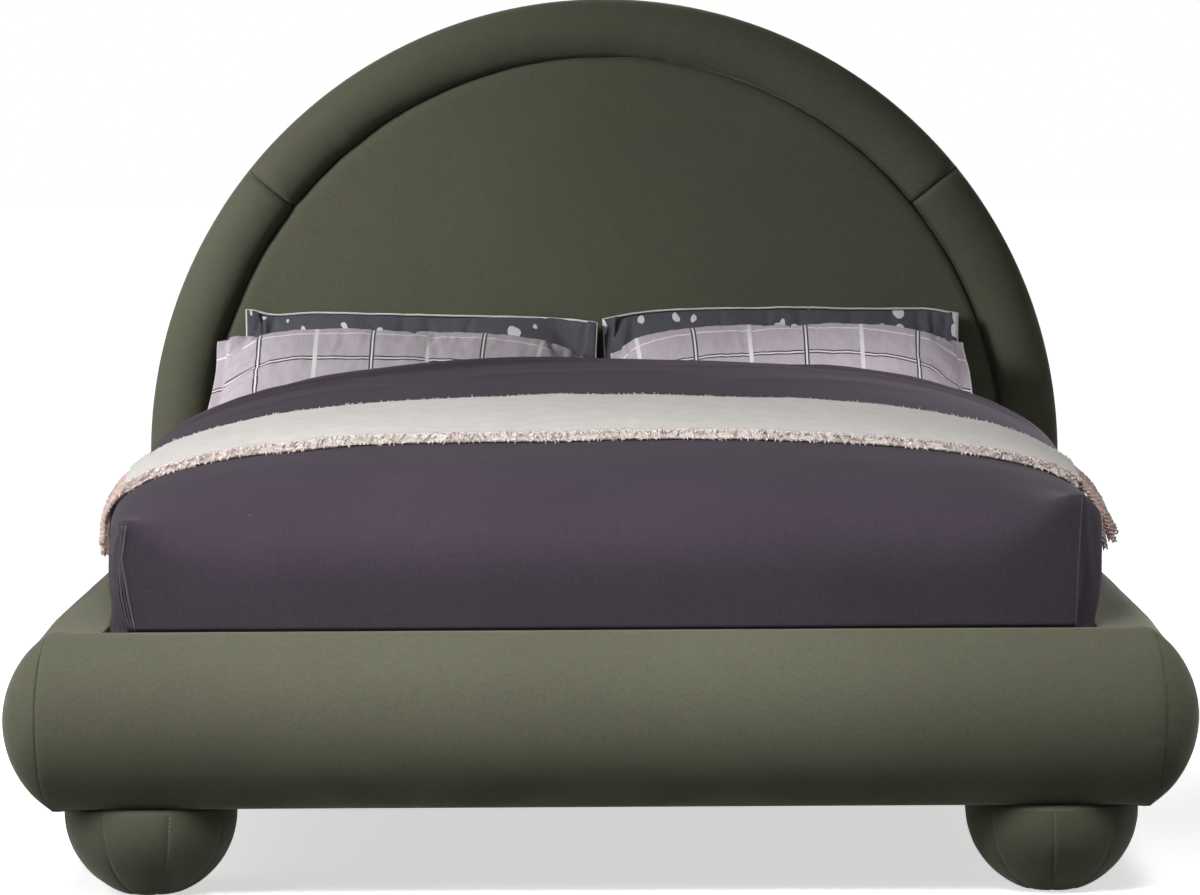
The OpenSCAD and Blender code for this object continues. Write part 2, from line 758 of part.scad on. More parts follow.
// A closed sheet from two grids of points, rows of the same length, top and bottom.
module closed_sheet(top, bottom) {
    rows = len(top);
    cols = len(top[0]);
    all = rows * cols;
    up = [for (r = [0:rows - 2]) for (c = [0:cols - 2])
        for (f = two_triangles(r * cols + c, (r + 1) * cols + c, (r + 1) * cols + c + 1, r * cols + c + 1)) f];
    loop = concat(
        [for (r = [0:rows - 1]) r * cols],
        [for (c = [1:cols - 1]) (rows - 1) * cols + c],
        [for (r = [rows - 2:-1:0]) r * cols + cols - 1],
        [for (c = [cols - 2:-1:1]) c]
    );
    edge = [for (n = [0:len(loop) - 1]) let (a = loop[n], b = loop[(n + 1) % len(loop)])
        for (f = two_triangles(b, a, a + all, b + all)) f];
    points = concat([for (row = top) each row], [for (row = bottom) each row]);
    polyhedron(points, concat(up, flip(up, all), edge), convexity = 6);
}

// The throw lies on the duvet, over the same mesh lines
turn_lines = [for (s = [turn_rows[1], turn_rows[2]]) mix(1, u_lines[0], s)];
throw_lines = concat(turn_lines, u_lines, [for (i = [1, 0]) -turn_lines[i]]);
throw_ks = [throw_from, (throw_from + throw_to) / 2, throw_to];
function on_duvet(u, k) = let (x = u * duvet_half(k)) [x, duvet_y(k), duvet_z(x, duvet_y(k))];
function duvet_normal(u, k) = let (
    n = cross(on_duvet(u + 0.004, k) - on_duvet(u - 0.004, k), on_duvet(u, k + 0.01) - on_duvet(u, k - 0.01))
) n / norm(n);
function throw_at(u, k, over) = on_duvet(u, k) + duvet_normal(u, k) * over;
throw_top = [for (k = throw_ks) [for (u = throw_lines) throw_at(u, k, throw_fit + throw_t)]];
throw_bottom = [for (k = throw_ks) [for (u = throw_lines) throw_at(u, k, throw_fit)]];

module throw_blanket() {
    closed_sheet(throw_bottom, throw_top);
}

// A row of tassels that hang from the end of the throw on the right-hand side.
module throw_fringe() {
    lean = [0.26, 0, -0.96];
    loose = 0.6;
    for (half = [0, 1]) for (i = [0:tassel_count - 1]) {
        gap = 0.12 / tassel_count;
        k = [i / tassel_count + gap, (i + 1) / tassel_count - gap];
        base = [for (q = [[0, 0], [0, 1], [1, 1], [1, 0]]) mix(
            q[1] == 0 ? throw_bottom[half][0] : throw_top[half][0],
            q[1] == 0 ? throw_bottom[half + 1][0] : throw_top[half + 1][0],
            k[q[0]]
        )];
        polyhedron(
            concat(
                [for (p = base) p + lean * loose],
                [for (p = base) p + lean * tassel_l * (1 - 0.08 * (i % 3))]
            ),
            [[0, 1, 2], [0, 2, 3], [6, 5, 4], [7, 6, 4], [1, 0, 4], [1, 4, 5], [2, 1, 5], [2, 5, 6],
                [3, 2, 6], [3, 6, 7], [0, 3, 7], [0, 7, 4]]
        );
    }
}

// A pillow rises from its lower seam by bend[i] times the way along Y to the power i + 1.
module pillow(x, y, z, run, bend, half, droop) {
    us = [for (i = [-6:6]) sign(i) * pow(abs(i) / 6, 0.75)];
    vs = [0, 0.04, 0.14, 0.3, 0.5, 0.7, 0.86, 0.96, 1];
    function full(u, v) = seam_half + half * pow(1 - pow(abs(u), 3), 0.6) * pow(1 - pow(abs(2 * v - 1), 2.6), 0.6);
    function at(u, v, side) = let (
        s = run * v + pillow_draw * (0.5 - v) * (1 - u * u),
        rise = [for (i = [0:3]) bend[i] * pow(s, i + 1)] * [1, 1, 1, 1],
        m = [for (i = [0:3]) (i + 1) * bend[i] * pow(s, i)] * [1, 1, 1, 1],
        tilt = sqrt(1 + m * m),
        h = side * full(u, v)
    ) [
        x + u * (pillow_w / 2 - pillow_draw * (1 - pow(2 * v - 1, 2))),
        y + s - m / tilt * h,
        z + rise + h / tilt - droop * pow(abs(u), 4)
    ];
    top = [for (u = us) [for (v = vs) at(u, v, 1)]];
    bottom = [for (u = us) [for (v = vs) at(u, v, -1)]];
    closed_sheet(bottom, top);
}

front_pillow_y = duvet_y(1) + pillow_gap;
pillow_seat = mattress_top + 2 * duvet_fit;
front_shift = -17;
back_shift = -5;

module front_pillow(s) {
    pillow(side_sign(s) * (pillow_w + front_gap) / 2 + front_shift, front_pillow_y, pillow_seat + 14,
        0.9 * pillow_l, [0.2, 0.001, -0.000000906, 0], front_half, pillow_droop);
}

module back_pillow(s) {
    pillow(side_sign(s) * (pillow_w + back_gap) / 2 + back_shift, front_pillow_y + pillow_step, pillow_seat + 23,
        0.73 * pillow_l, [0, 0, 0, 0.0000000164], back_half, pillow_droop);
}

color(plywood) headboard_board();
for (s = sides) color(pine) on_side(s) headboard_post();
color(pine) headboard_cross_rail();
color(velvet) headboard_back_cover();
color(velvet) headboard_panel();
color(velvet) headboard_roll_top();
for (s = sides) color(velvet) on_side(s) headboard_roll_side();
for (s = sides) color(pine) on_side(s) side_rail_board();
for (s = sides) color(velvet) on_side(s) side_rail_cover();
color(pine) foot_rail_board();
color(velvet) foot_rail_cover();
color(plywood) rail_formers();
for (s = sides) color(pine) on_side(s) slat_ledge();
for (s = sides) color(steel) on_side(s) corner_bracket(foot_y, 1);
for (s = sides) color(steel) on_side(s) corner_bracket(board_y, -1);
color(steel) frame_bolts();
color(steel) slat_screws();
color(plywood) foot_plates();
color(pine) centre_beam();
color(steel) beam_hangers();
color(pine) centre_leg();
color(rubber) leveller();
for (i = [1:slat_count]) color(pine) slat(slat_ys[i - 1]);
for (e = ends) for (s = sides) color(pine) translate(foot_at(e, s)) foot_core();
for (e = ends) for (s = sides) color(velvet) translate(foot_at(e, s)) foot_cover();
color(steel) foot_bolts();
color(ticking) mattress();
color(duvet_cotton) duvet();
color(throw_wool) throw_blanket();  // throw
for (s = sides) color(fringe_wool) on_side(s) throw_fringe();
for (s = sides) color(check_cotton) front_pillow(s);
for (s = sides) color(slate_cotton) back_pillow(s);
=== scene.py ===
"""An upholstered platform bed with an arched headboard, dressed with its bedding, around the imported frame."""
from __future__ import annotations

import json
import logging
import math
import random
from collections.abc import Callable, Iterable, Sequence
from dataclasses import dataclass, field
from enum import Enum

import bmesh
import bpy
from mathutils import Matrix, Vector, noise

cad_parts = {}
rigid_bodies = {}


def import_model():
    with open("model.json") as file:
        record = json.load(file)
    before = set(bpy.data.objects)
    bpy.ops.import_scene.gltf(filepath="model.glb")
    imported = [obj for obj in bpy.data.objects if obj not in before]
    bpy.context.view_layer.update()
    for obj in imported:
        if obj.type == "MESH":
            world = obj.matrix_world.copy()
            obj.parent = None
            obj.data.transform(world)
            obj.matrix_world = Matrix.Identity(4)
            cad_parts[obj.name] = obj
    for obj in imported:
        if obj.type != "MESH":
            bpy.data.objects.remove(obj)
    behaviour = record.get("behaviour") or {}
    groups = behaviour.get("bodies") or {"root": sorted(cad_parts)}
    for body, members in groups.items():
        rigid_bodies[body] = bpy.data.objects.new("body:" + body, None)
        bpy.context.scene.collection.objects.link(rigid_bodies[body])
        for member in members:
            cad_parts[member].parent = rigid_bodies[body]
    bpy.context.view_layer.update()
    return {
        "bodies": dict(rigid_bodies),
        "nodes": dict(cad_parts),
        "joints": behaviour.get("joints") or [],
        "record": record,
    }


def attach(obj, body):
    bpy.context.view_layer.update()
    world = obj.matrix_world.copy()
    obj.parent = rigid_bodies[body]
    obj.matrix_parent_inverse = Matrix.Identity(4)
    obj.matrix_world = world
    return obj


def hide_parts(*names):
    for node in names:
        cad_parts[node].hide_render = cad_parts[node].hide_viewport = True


LOG = logging.getLogger("bed")
SIDES = (("left", -1.0), ("right", 1.0))
NEARLY_ONE = 1 - 1e-6

Table = Sequence[tuple[float, float]]
Color = tuple[float, float, float, float]
Mesh = bmesh.types.BMesh
Vert = bmesh.types.BMVert
Edge = bmesh.types.BMEdge
Socket = bpy.types.NodeSocket


def mix(a: float, b: float, k: float) -> float:
    """Returns the value that lies k of the way from a to b."""
    return a + (b - a) * k


def clamp(value: float, low: float = 0.0, high: float = 1.0) -> float:
    """Returns value, held between low and high."""
    return max(low, min(high, value))


def ease(k: float) -> float:
    """Returns k from 0 to 1 with a soft start and end."""
    k = clamp(k)
    return k * k * (3 - 2 * k)


def bump(distance: float, width: float) -> float:
    """Returns a bell of height 1 at distance 0 that fades over width."""
    return math.exp(-((distance / width) ** 2))


def lookup(k: float, table: Table) -> float:
    """Reads a table of places and values.

    Args:
        k: The place to read at.
        table: Pairs of place and value, places rising.

    Returns:
        The value at k, on straight lines between the pairs.
    """
    if k <= table[0][0]:
        return table[0][1]
    for (k0, v0), (k1, v1) in zip(table, table[1:]):
        if k <= k1:
            return mix(v0, v1, (k - k0) / (k1 - k0))
    return table[-1][1]


def soft_lookup(k: float, table: Table, spread: float) -> float:
    """Reads a table with its corners rounded over spread."""
    steps = (-1.0, -0.6, -0.2, 0.2, 0.6, 1.0)
    return sum(lookup(k + spread * s, table) for s in steps) / len(steps)


def rough(x: float, y: float, z: float) -> float:
    """Returns smooth noise from about -1 to 1 at a place."""
    return noise.noise(Vector((x, y, z)))


def picked(found: Iterable[object], kind: type) -> list:
    """Returns those of found that are of one kind."""
    return [item for item in found if isinstance(item, kind)]


class Grain(Enum):
    """The way that a wooden piece's grain runs, as the stretch of its pattern along X, Y and Z."""

    ALONG_X = (1.0, 12.0, 12.0)
    ALONG_Y = (12.0, 1.0, 12.0)
    ALONG_Z = (12.0, 12.0, 1.0)


class Nodes:
    """A node tree that is emptied and made again, a node at a time."""

    def __init__(self, tree: bpy.types.NodeTree) -> None:
        """Empties the tree."""
        self.tree = tree
        tree.nodes.clear()

    def node(
        self, kind: str, inputs: dict[str | int, object] | None = None, **settings: object
    ) -> bpy.types.Node:
        """Adds a node.

        Args:
            kind: The node's type, without its ShaderNode start.
            inputs: Values or sockets for its inputs.
            settings: Its own properties.

        Returns:
            The new node.
        """
        made = self.tree.nodes.new("ShaderNode" + kind)
        for key, value in settings.items():
            setattr(made, key, value)
        for key, value in (inputs or {}).items():
            self.put(made.inputs[key], value)
        return made

    def put(self, socket: Socket, value: object) -> None:
        """Links or sets one input socket."""
        if isinstance(value, Socket):
            self.tree.links.new(value, socket)
        else:
            socket.default_value = value

    def math(self, operation: str, a: object, b: object = 0.0) -> Socket:
        """Returns the result of one sum on two values."""
        return self.node("Math", {0: a, 1: b}, operation=operation).outputs[0]


class Shader(Nodes):
    """A material's node tree, made around one shader."""

    def __init__(self, name: str) -> None:
        """Starts an empty material named name."""
        self.material = bpy.data.materials.new(name)
        self.material.use_nodes = True
        super().__init__(self.material.node_tree)
        self.surface = self.node("BsdfPrincipled")
        self.node("OutputMaterial", {0: self.surface.outputs[0]})

    def set(self, **values: object) -> None:
        """Sets inputs of the shader, with underscores for the spaces in their names."""
        for key, value in values.items():
            self.put(self.surface.inputs[key.replace("_", " ")], value)

    def place(self) -> Socket:
        """Returns the object coordinates, which are metres in the bed's frame."""
        return self.node("TexCoord").outputs["Object"]

    def stretched(self, place: Socket, scale: Sequence[float]) -> Socket:
        """Returns place stretched by scale along X, Y and Z."""
        return self.node("Mapping", {"Vector": place, "Scale": tuple(scale)}).outputs[0]

    def noise(
        self, place: Socket, scale: float, detail: float = 2.0, rough: float = 0.5, twist: float = 0.0
    ) -> Socket:
        """Returns grey noise at place."""
        sizes = {"Scale": scale, "Detail": detail, "Roughness": rough, "Distortion": twist}
        return self.node("TexNoise", {"Vector": place, **sizes}).outputs[0]

    def range(
        self, value: Socket, low: float, high: float, to_low: float, to_high: float
    ) -> Socket:
        """Returns value moved from one range to another, clamped."""
        made = self.node("MapRange", {0: value, 1: low, 2: high, 3: to_low, 4: to_high})
        return made.outputs[0]

    def grey(self, low: float, high: float, place: Socket, scale: float, *detail: float) -> Socket:
        """Returns noise at place as a grey factor from low to high, for a colour's shading."""
        return self.range(self.noise(place, scale, *detail), 0.3, 0.7, low, high)

    def attribute(self, name: str) -> Socket:
        """Returns a number that the mesh carries at each vertex, or 0 where it carries none."""
        return self.node("Attribute", attribute_name=name).outputs["Fac"]

    def blend(self, a: object, b: object, share: object, how: str = "MIX") -> Socket:
        """Returns two colours mixed by share."""
        made = self.node("Mix", data_type="RGBA", blend_type=how)
        self.put(made.inputs["Factor"], share)
        self.put(next(s for s in made.inputs if s.name == "A" and s.type == "RGBA"), a)
        self.put(next(s for s in made.inputs if s.name == "B" and s.type == "RGBA"), b)
        return next(s for s in made.outputs if s.type == "RGBA")

    def shade(self, color: object, *factors: Socket) -> Socket:
        """Returns color made lighter or darker by grey factors around 1."""
        for factor in factors:
            color = self.blend(color, factor, 1.0, "MULTIPLY")
        return color

    def raise_by(self, height: Socket, depth: float, strength: float = 1.0) -> None:
        """Adds a bump of depth metres under the shader's normal."""
        made = self.node("Bump", {"Height": height, "Distance": depth, "Strength": strength})
        before = self.surface.inputs["Normal"]
        if before.is_linked:
            self.put(made.inputs["Normal"], before.links[0].from_socket)
        self.put(before, made.outputs[0])


def rgb(red: float, green: float, blue: float) -> Color:
    """Returns an opaque colour from linear parts."""
    return (red, green, blue, 1.0)


WHITE = rgb(1.0, 1.0, 1.0)


@dataclass(frozen=True)
class Velvet:
    """Short-pile upholstery velvet: a soft sheen, a faint weave, a nap that shades in large patches, and
    painted shade along the seam where the headboard's roll meets its panel.
    """

    name: str = "velvet"
    color: Color = rgb(0.087, 0.087, 0.060)
    sheen: float = 0.30

    def build(self) -> bpy.types.Material:
        """Returns the velvet's material."""
        s = Shader(self.name)
        place = s.place()
        nap = s.grey(0.93, 1.07, place, 2.4, 3.0)
        crush = s.grey(0.95, 1.05, place, 17.0, 4.0, 0.6, 0.6)
        across = s.grey(0.94, 1.06, s.stretched(place, (110.0, 110.0, 900.0)), 1.0, 2.0)
        along = s.grey(0.94, 1.06, s.stretched(place, (900.0, 900.0, 110.0)), 1.0, 2.0)
        mottle = s.grey(0.91, 1.09, place, 230.0, 2.0, 0.6)
        pile = s.noise(place, 1500.0, 2.0)
        # Painted shade: the velvet is darkened to 0.30 of its colour along the seam between the headboard's
        # roll and panel, as the mesh attribute there asks.
        painted_crease_shade = s.range(s.attribute("crease_shade"), 0.0, 1.0, 1.0, 0.30)
        s.set(
            Base_Color=s.shade(self.color, nap, crush, across, along, mottle, painted_crease_shade),
            Roughness=s.range(crush, 0.95, 1.05, 0.72, 0.88),
            Sheen_Weight=self.sheen,
            Sheen_Roughness=0.42,
            Sheen_Tint=rgb(0.78, 0.78, 0.62),
            Specular_IOR_Level=0.22,
        )
        s.raise_by(pile, 0.0005, 0.35)
        s.raise_by(s.math("ADD", across, along), 0.0006, 0.30)
        s.raise_by(mottle, 0.0030, 0.30)
        s.raise_by(s.noise(place, 55.0, 3.0), 0.0012, 0.25)
        return s.material


@dataclass(frozen=True)
class Cotton:
    """Plain woven bed cotton with slubs, a light fuzz and, where asked for, stray lint and a painted highlight
    on its seam cords.
    """

    name: str
    color: Color
    thread: float = 1400.0
    lint_and_highlight: bool = False
    pebbles: bool = False

    def build(self) -> bpy.types.Material:
        """Returns the cotton's material."""
        s = Shader(self.name)
        place = s.place()
        worn = s.grey(0.94, 1.06, place, 5.0, 3.0)
        weft = s.grey(0.9, 1.1, s.stretched(place, (40.0, self.thread, self.thread)), 1.0, 2.0)
        warp = s.grey(0.9, 1.1, s.stretched(place, (self.thread, 40.0, 40.0)), 1.0, 2.0)
        mottle = s.grey(0.90, 1.10, place, 260.0, 2.0, 0.6)
        color = s.shade(self.color, worn, weft, warp, mottle)
        if self.lint_and_highlight:
            specks = s.node("TexVoronoi", {"Vector": place, "Scale": 22.0, "Randomness": 1.0})
            near = s.math("LESS_THAN", specks.outputs["Distance"], 0.022)
            few = s.math("GREATER_THAN", s.noise(place, 9.0, 1.0), 0.56)
            color = s.blend(color, rgb(0.34, 0.32, 0.34), s.math("MULTIPLY", near, few))
            # Painted highlight: the duvet's pleat and seam cords are lightened by their value in the fleck
            # attribute, as if they caught the light.
            edge = s.math("MULTIPLY", s.attribute("fleck"), 0.16)
            color = s.blend(color, rgb(0.62, 0.58, 0.64), edge)
        if self.pebbles:
            color = s.blend(color, rgb(0.62, 0.62, 0.63), self.pebble_mask(s))
        s.set(
            Base_Color=color,
            Roughness=0.88,
            Sheen_Weight=0.05,
            Sheen_Roughness=0.45,
            Sheen_Tint=rgb(0.80, 0.70, 0.84),
            Specular_IOR_Level=0.18,
        )
        s.raise_by(s.math("ADD", weft, warp), 0.0004, 0.4)
        s.raise_by(mottle, 0.0020, 0.30)
        s.raise_by(s.noise(place, 42.0, 4.0), 0.0016, 0.3)
        return s.material

    def pebble_mask(self, s: Shader) -> Socket:
        """Returns 1 on a loose scatter of rounded pebbles and 0 elsewhere, by the cover's own map.

        Args:
            s: The material in the making.

        Returns:
            The mask's socket.
        """
        own = s.node("TexCoord").outputs["UV"]
        wander = s.node("TexNoise", {"Vector": own, "Scale": 34.0, "Detail": 1.0}).outputs["Color"]
        small = s.node("VectorMath", {0: wander, "Scale": 0.02}, operation="SCALE").outputs[0]
        bent = s.node("VectorMath", {0: own, 1: small}, operation="ADD")
        long = s.stretched(bent.outputs[0], (0.62, 1.0, 1.0))
        cells = s.node("TexVoronoi", {"Vector": long, "Scale": 50.0})
        chosen = s.node("SeparateXYZ", {0: cells.outputs["Color"]}).outputs[0]
        radius = s.range(chosen, 0.40, 1.0, 0.0, 0.44)
        return s.math("LESS_THAN", cells.outputs["Distance"], radius)


@dataclass(frozen=True)
class Check:
    """Pale cotton with a wide check: white bands and dark double lines by turns, by the cover's own map."""

    name: str = "check_cotton"
    color: Color = rgb(0.50, 0.435, 0.485)
    white: Color = rgb(0.80, 0.78, 0.78)
    dark: Color = rgb(0.035, 0.035, 0.042)
    pitch: float = 0.106
    fine: tuple[float, float] = (0.0030, 0.0039)
    broad: float = 0.0050
    line: float = 0.0016
    line_gap: float = 0.0033

    def build(self) -> bpy.types.Material:
        """Returns the check's material."""
        s = Shader(self.name)
        place = s.place()
        parts = s.node("SeparateXYZ", {0: s.node("TexCoord").outputs["UV"]})
        worn = s.grey(0.95, 1.05, place, 9.0, 3.0)
        weave = s.grey(0.9, 1.1, place, 1100.0, 1.0)
        warp = s.grey(0.94, 1.05, s.stretched(place, (480.0, 26.0, 26.0)), 1.0, 2.0)
        weft = s.grey(0.94, 1.05, s.stretched(place, (26.0, 480.0, 480.0)), 1.0, 2.0)
        color = s.shade(self.color, worn)
        across, along = parts.outputs[1], parts.outputs[0]
        for part, fine, wide in ((across, self.fine[0], 1.5), (along, self.fine[1], 1.0)):
            color = s.blend(color, self.white, self.band(s, part, 0.0, fine))
            color = s.blend(color, self.white, self.band(s, part, self.pitch, self.broad * wide))
            for side in (-1.0, 1.0):
                start = self.pitch + side * self.line_gap * wide
                color = s.blend(color, self.dark, self.band(s, part, start, self.line * wide))
        s.set(
            Base_Color=s.shade(color, weave, warp, weft),
            Roughness=0.8,
            Sheen_Weight=0.12,
            Sheen_Roughness=0.5,
            Specular_IOR_Level=0.25,
        )
        s.raise_by(weave, 0.0004, 0.3)
        s.raise_by(s.noise(place, 48.0, 4.0), 0.0014, 0.3)
        return s.material

    def band(self, s: Shader, along: Socket, start: float, half: float) -> Socket:
        """Returns 1 on bands that repeat every two pitches.

        Args:
            s: The material in the making.
            along: The distance across the bands.
            start: Where the first band's middle lies.
            half: Half the width of a band.

        Returns:
            The mask's socket.
        """
        period = 2 * self.pitch
        shifted = s.math("ADD", along, period * 40.5 - start)
        inside = s.math("MODULO", shifted, period)
        off = s.math("ABSOLUTE", s.math("SUBTRACT", inside, period / 2))
        return s.range(off, half - 0.0002, half + 0.0002, 1.0, 0.0)


@dataclass(frozen=True)
class Wool:
    """Brushed woollen cloth or cord: felted, nubby, and flecked darker by the attribute named fleck."""

    name: str
    color: Color
    fleck: Color = rgb(0.30, 0.20, 0.18)
    nub: float = 260.0

    def build(self) -> bpy.types.Material:
        """Returns the wool's material."""
        s = Shader(self.name)
        place = s.place()
        felt = s.grey(0.94, 1.05, place, 30.0, 4.0)
        fibre = s.grey(0.88, 1.1, place, 900.0, 3.0, 0.7)
        grain = s.range(s.noise(place, self.nub * 1.6, 2.0, 0.6), 0.42, 0.62, 0.0, 1.0)
        share = s.attribute("fleck")
        color = s.blend(self.color, self.fleck, s.math("MULTIPLY", grain, share))
        s.set(
            Base_Color=s.shade(color, felt, fibre),
            Roughness=0.92,
            Sheen_Weight=0.3,
            Sheen_Roughness=0.6,
            Specular_IOR_Level=0.15,
        )
        nubs = s.node("TexVoronoi", {"Vector": place, "Scale": self.nub}, feature="SMOOTH_F1")
        s.raise_by(nubs.outputs["Distance"], 0.0012, 0.35)
        s.raise_by(s.noise(place, 900.0, 3.0), 0.0005, 0.4)
        return s.material


@dataclass(frozen=True)
class Ticking:
    """Knitted mattress ticking: off-white with a fine raised rib."""

    name: str = "ticking"
    color: Color = rgb(0.72, 0.70, 0.66)

    def build(self) -> bpy.types.Material:
        """Returns the ticking's material."""
        s = Shader(self.name)
        place = s.place()
        rib = s.node("TexWave", {"Vector": place, "Scale": 55.0, "Distortion": 1.2, "Detail": 2.0}).outputs[1]
        worn = s.grey(0.96, 1.03, place, 6.0, 3.0)
        yarn = s.grey(0.93, 1.05, place, 1300.0, 2.0)
        s.set(
            Base_Color=s.shade(self.color, worn, yarn),
            Roughness=0.85,
            Sheen_Weight=0.15,
            Specular_IOR_Level=0.25,
        )
        s.raise_by(rib, 0.0006, 0.4)
        s.raise_by(yarn, 0.0003, 0.3)
        return s.material


@dataclass(frozen=True)
class Timber:
    """Planed softwood, or plywood with its layers showing, grained along one direction."""

    name: str
    color: Color
    late: Color
    grain: Grain
    layered: bool = False

    def build(self) -> bpy.types.Material:
        """Returns the timber's material."""
        s = Shader(self.name)
        place = s.place()
        long = s.stretched(place, self.grain.value)
        rings = s.noise(long, 2.6, 4.0, 0.55, 1.4)
        bent = {"Scale": 2.2, "Distortion": 9.0, "Detail": 3.0, "Detail Scale": 1.2}
        lines = s.node("TexWave", {"Vector": long, **bent})
        pores = s.noise(s.stretched(place, tuple(20.0 * g for g in self.grain.value)), 6.0, 2.0)
        share = s.math("MULTIPLY", s.range(rings, 0.35, 0.7, 0.0, 1.0), lines.outputs[1])
        color = s.blend(self.color, self.late, share)
        if self.layered:
            layers = {"Vector": place, "Scale": 110.0, "Distortion": 0.4}
            plies = s.node("TexWave", layers, bands_direction="DIAGONAL")
            color = s.blend(color, self.late, s.math("MULTIPLY", plies.outputs[1], 0.35))
        s.set(
            Base_Color=s.shade(color, s.range(pores, 0.3, 0.7, 0.9, 1.06)),
            Roughness=s.range(rings, 0.3, 0.7, 0.5, 0.68),
            Specular_IOR_Level=0.35,
        )
        s.raise_by(pores, 0.0003, 0.35)
        return s.material


@dataclass(frozen=True)
class Metal:
    """Zinc-plated steel with a drawn, slightly clouded face."""

    name: str = "steel"
    color: Color = rgb(0.46, 0.47, 0.49)

    def build(self) -> bpy.types.Material:
        """Returns the steel's material."""
        s = Shader(self.name)
        place = s.place()
        drawn = s.noise(s.stretched(place, (30.0, 30.0, 900.0)), 1.0, 2.0)
        cloud = s.noise(place, 60.0, 3.0)
        s.set(
            Base_Color=s.shade(self.color, s.range(cloud, 0.3, 0.7, 0.86, 1.08)),
            Metallic=1.0,
            Roughness=s.range(drawn, 0.3, 0.7, 0.28, 0.46),
        )
        s.raise_by(drawn, 0.00015, 0.3)
        return s.material


@dataclass(frozen=True)
class Plastic:
    """Moulded black plastic with a spark-eroded grain."""

    name: str = "black_plastic"
    color: Color = rgb(0.020, 0.020, 0.021)

    def build(self) -> bpy.types.Material:
        """Returns the plastic's material."""
        s = Shader(self.name)
        place = s.place()
        grain = s.noise(place, 1600.0, 2.0)
        s.set(
            Base_Color=s.shade(self.color, s.grey(0.85, 1.2, place, 40.0, 2.0)),
            Roughness=s.range(grain, 0.3, 0.7, 0.42, 0.58),
        )
        s.raise_by(grain, 0.0002, 0.3)
        return s.material


@dataclass(frozen=True)
class Thread:
    """Twisted sewing thread."""

    name: str
    color: Color

    def build(self) -> bpy.types.Material:
        """Returns the thread's material."""
        s = Shader(self.name)
        place = s.place()
        ply = s.noise(place, 2200.0, 1.0)
        s.set(Base_Color=s.shade(self.color, s.range(ply, 0.3, 0.7, 0.8, 1.15)), Roughness=0.6)
        s.raise_by(ply, 0.0003, 0.5)
        return s.material


class Wardrobe:
    """The bed's finishes, each made once."""

    def __init__(self) -> None:
        """Builds every finish's material."""
        pine, late = rgb(0.56, 0.38, 0.20), rgb(0.33, 0.185, 0.08)
        ply, dark = rgb(0.45, 0.31, 0.17), rgb(0.27, 0.165, 0.08)
        self.velvet = Velvet().build()
        self.duvet = Cotton("duvet_cotton", rgb(0.0425, 0.0325, 0.0445), lint_and_highlight=True).build()
        self.slate = Cotton("slate_cotton", rgb(0.080, 0.078, 0.093), pebbles=True).build()
        self.check = Check().build()
        self.throw = Wool("throw_wool", rgb(0.80, 0.76, 0.72), rgb(0.46, 0.33, 0.30)).build()
        self.tuft = Wool("tuft_wool", rgb(0.86, 0.74, 0.70), rgb(0.40, 0.25, 0.22), 420.0).build()
        self.fringe = Wool("fringe_wool", rgb(0.74, 0.58, 0.52), rgb(0.27, 0.10, 0.07), 420.0).build()
        self.ticking = Ticking().build()
        self.piping = Thread("white_piping", rgb(0.62, 0.61, 0.59)).build()
        self.thread = Thread("olive_thread", rgb(0.018, 0.018, 0.013)).build()
        self.pale_thread = Thread("pale_thread", rgb(0.20, 0.20, 0.165)).build()
        self.steel = Metal().build()
        self.plastic = Plastic().build()
        self.pine = {g: Timber("pine_" + g.name.lower(), pine, late, g).build() for g in Grain}
        self.plywood = Timber("plywood_along_x", ply, dark, Grain.ALONG_X, True).build()


@dataclass(frozen=True)
class Label:
    """What a new piece is called, what it rides on and what it stands for."""

    name: str
    body: str
    slot: str
    stands_for: tuple[str, ...] = ()


def make_piece(
    bm: Mesh,
    label: Label,
    material: bpy.types.Material,
    levels: int = 0,
    wall: float = 0.0,
    turn: bool = True,
) -> bpy.types.Object:
    """Turns a finished bmesh into a piece of the bed.

    Args:
        bm: The mesh, in metres in the bed's frame. It is freed.
        label: The piece's name, body and nodes; its slot is not used.
        material: Its finish.
        levels: Steps of subdivision.
        wall: Thickness of its wall, for a shell.
        turn: Whether the faces are turned outwards first.

    Returns:
        The new object.
    """
    bmesh.ops.remove_doubles(bm, verts=bm.verts, dist=1e-5)
    bmesh.ops.dissolve_degenerate(bm, edges=bm.edges, dist=1e-6)
    if turn:
        bmesh.ops.recalc_face_normals(bm, faces=bm.faces)
    for face in bm.faces:
        face.smooth = True
    mesh = bpy.data.meshes.new(label.name)
    bm.to_mesh(mesh)
    bm.free()
    piece = bpy.data.objects.new(label.name, mesh)
    bpy.context.scene.collection.objects.link(piece)
    mesh.materials.append(material)
    if wall:
        shell = piece.modifiers.new("wall", "SOLIDIFY")
        shell.thickness = wall
        shell.offset = -1.0
    if levels:
        smooth = piece.modifiers.new("smooth", "SUBSURF")
        smooth.levels = levels
        smooth.render_levels = levels
    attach(piece, label.body)
    label.slot
    if label.stands_for:
        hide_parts(*label.stands_for)
    LOG.info("%s: %d faces on %s", label.name, len(mesh.polygons), label.body)
    return piece


def make_grid(columns: int, rows: int) -> Mesh:
    """Returns a flat grid of columns by rows faces that runs from 0 to 1 along X and Y."""
    bm = bmesh.new()
    bmesh.ops.create_grid(bm, x_segments=columns, y_segments=rows, size=0.5)
    bmesh.ops.translate(bm, verts=bm.verts, vec=(0.5, 0.5, 0.0))
    return bm


def move_all(bm: Mesh, where: Callable[[Vector], Vector]) -> None:
    """Moves every vertex to the place that where gives for it."""
    for vert in bm.verts:
        vert.co = where(vert.co.copy())


def close_holes(bm: Mesh) -> None:
    """Fills each open border with one face."""
    bmesh.ops.holes_fill(bm, edges=[e for e in bm.edges if e.is_boundary], sides=0)


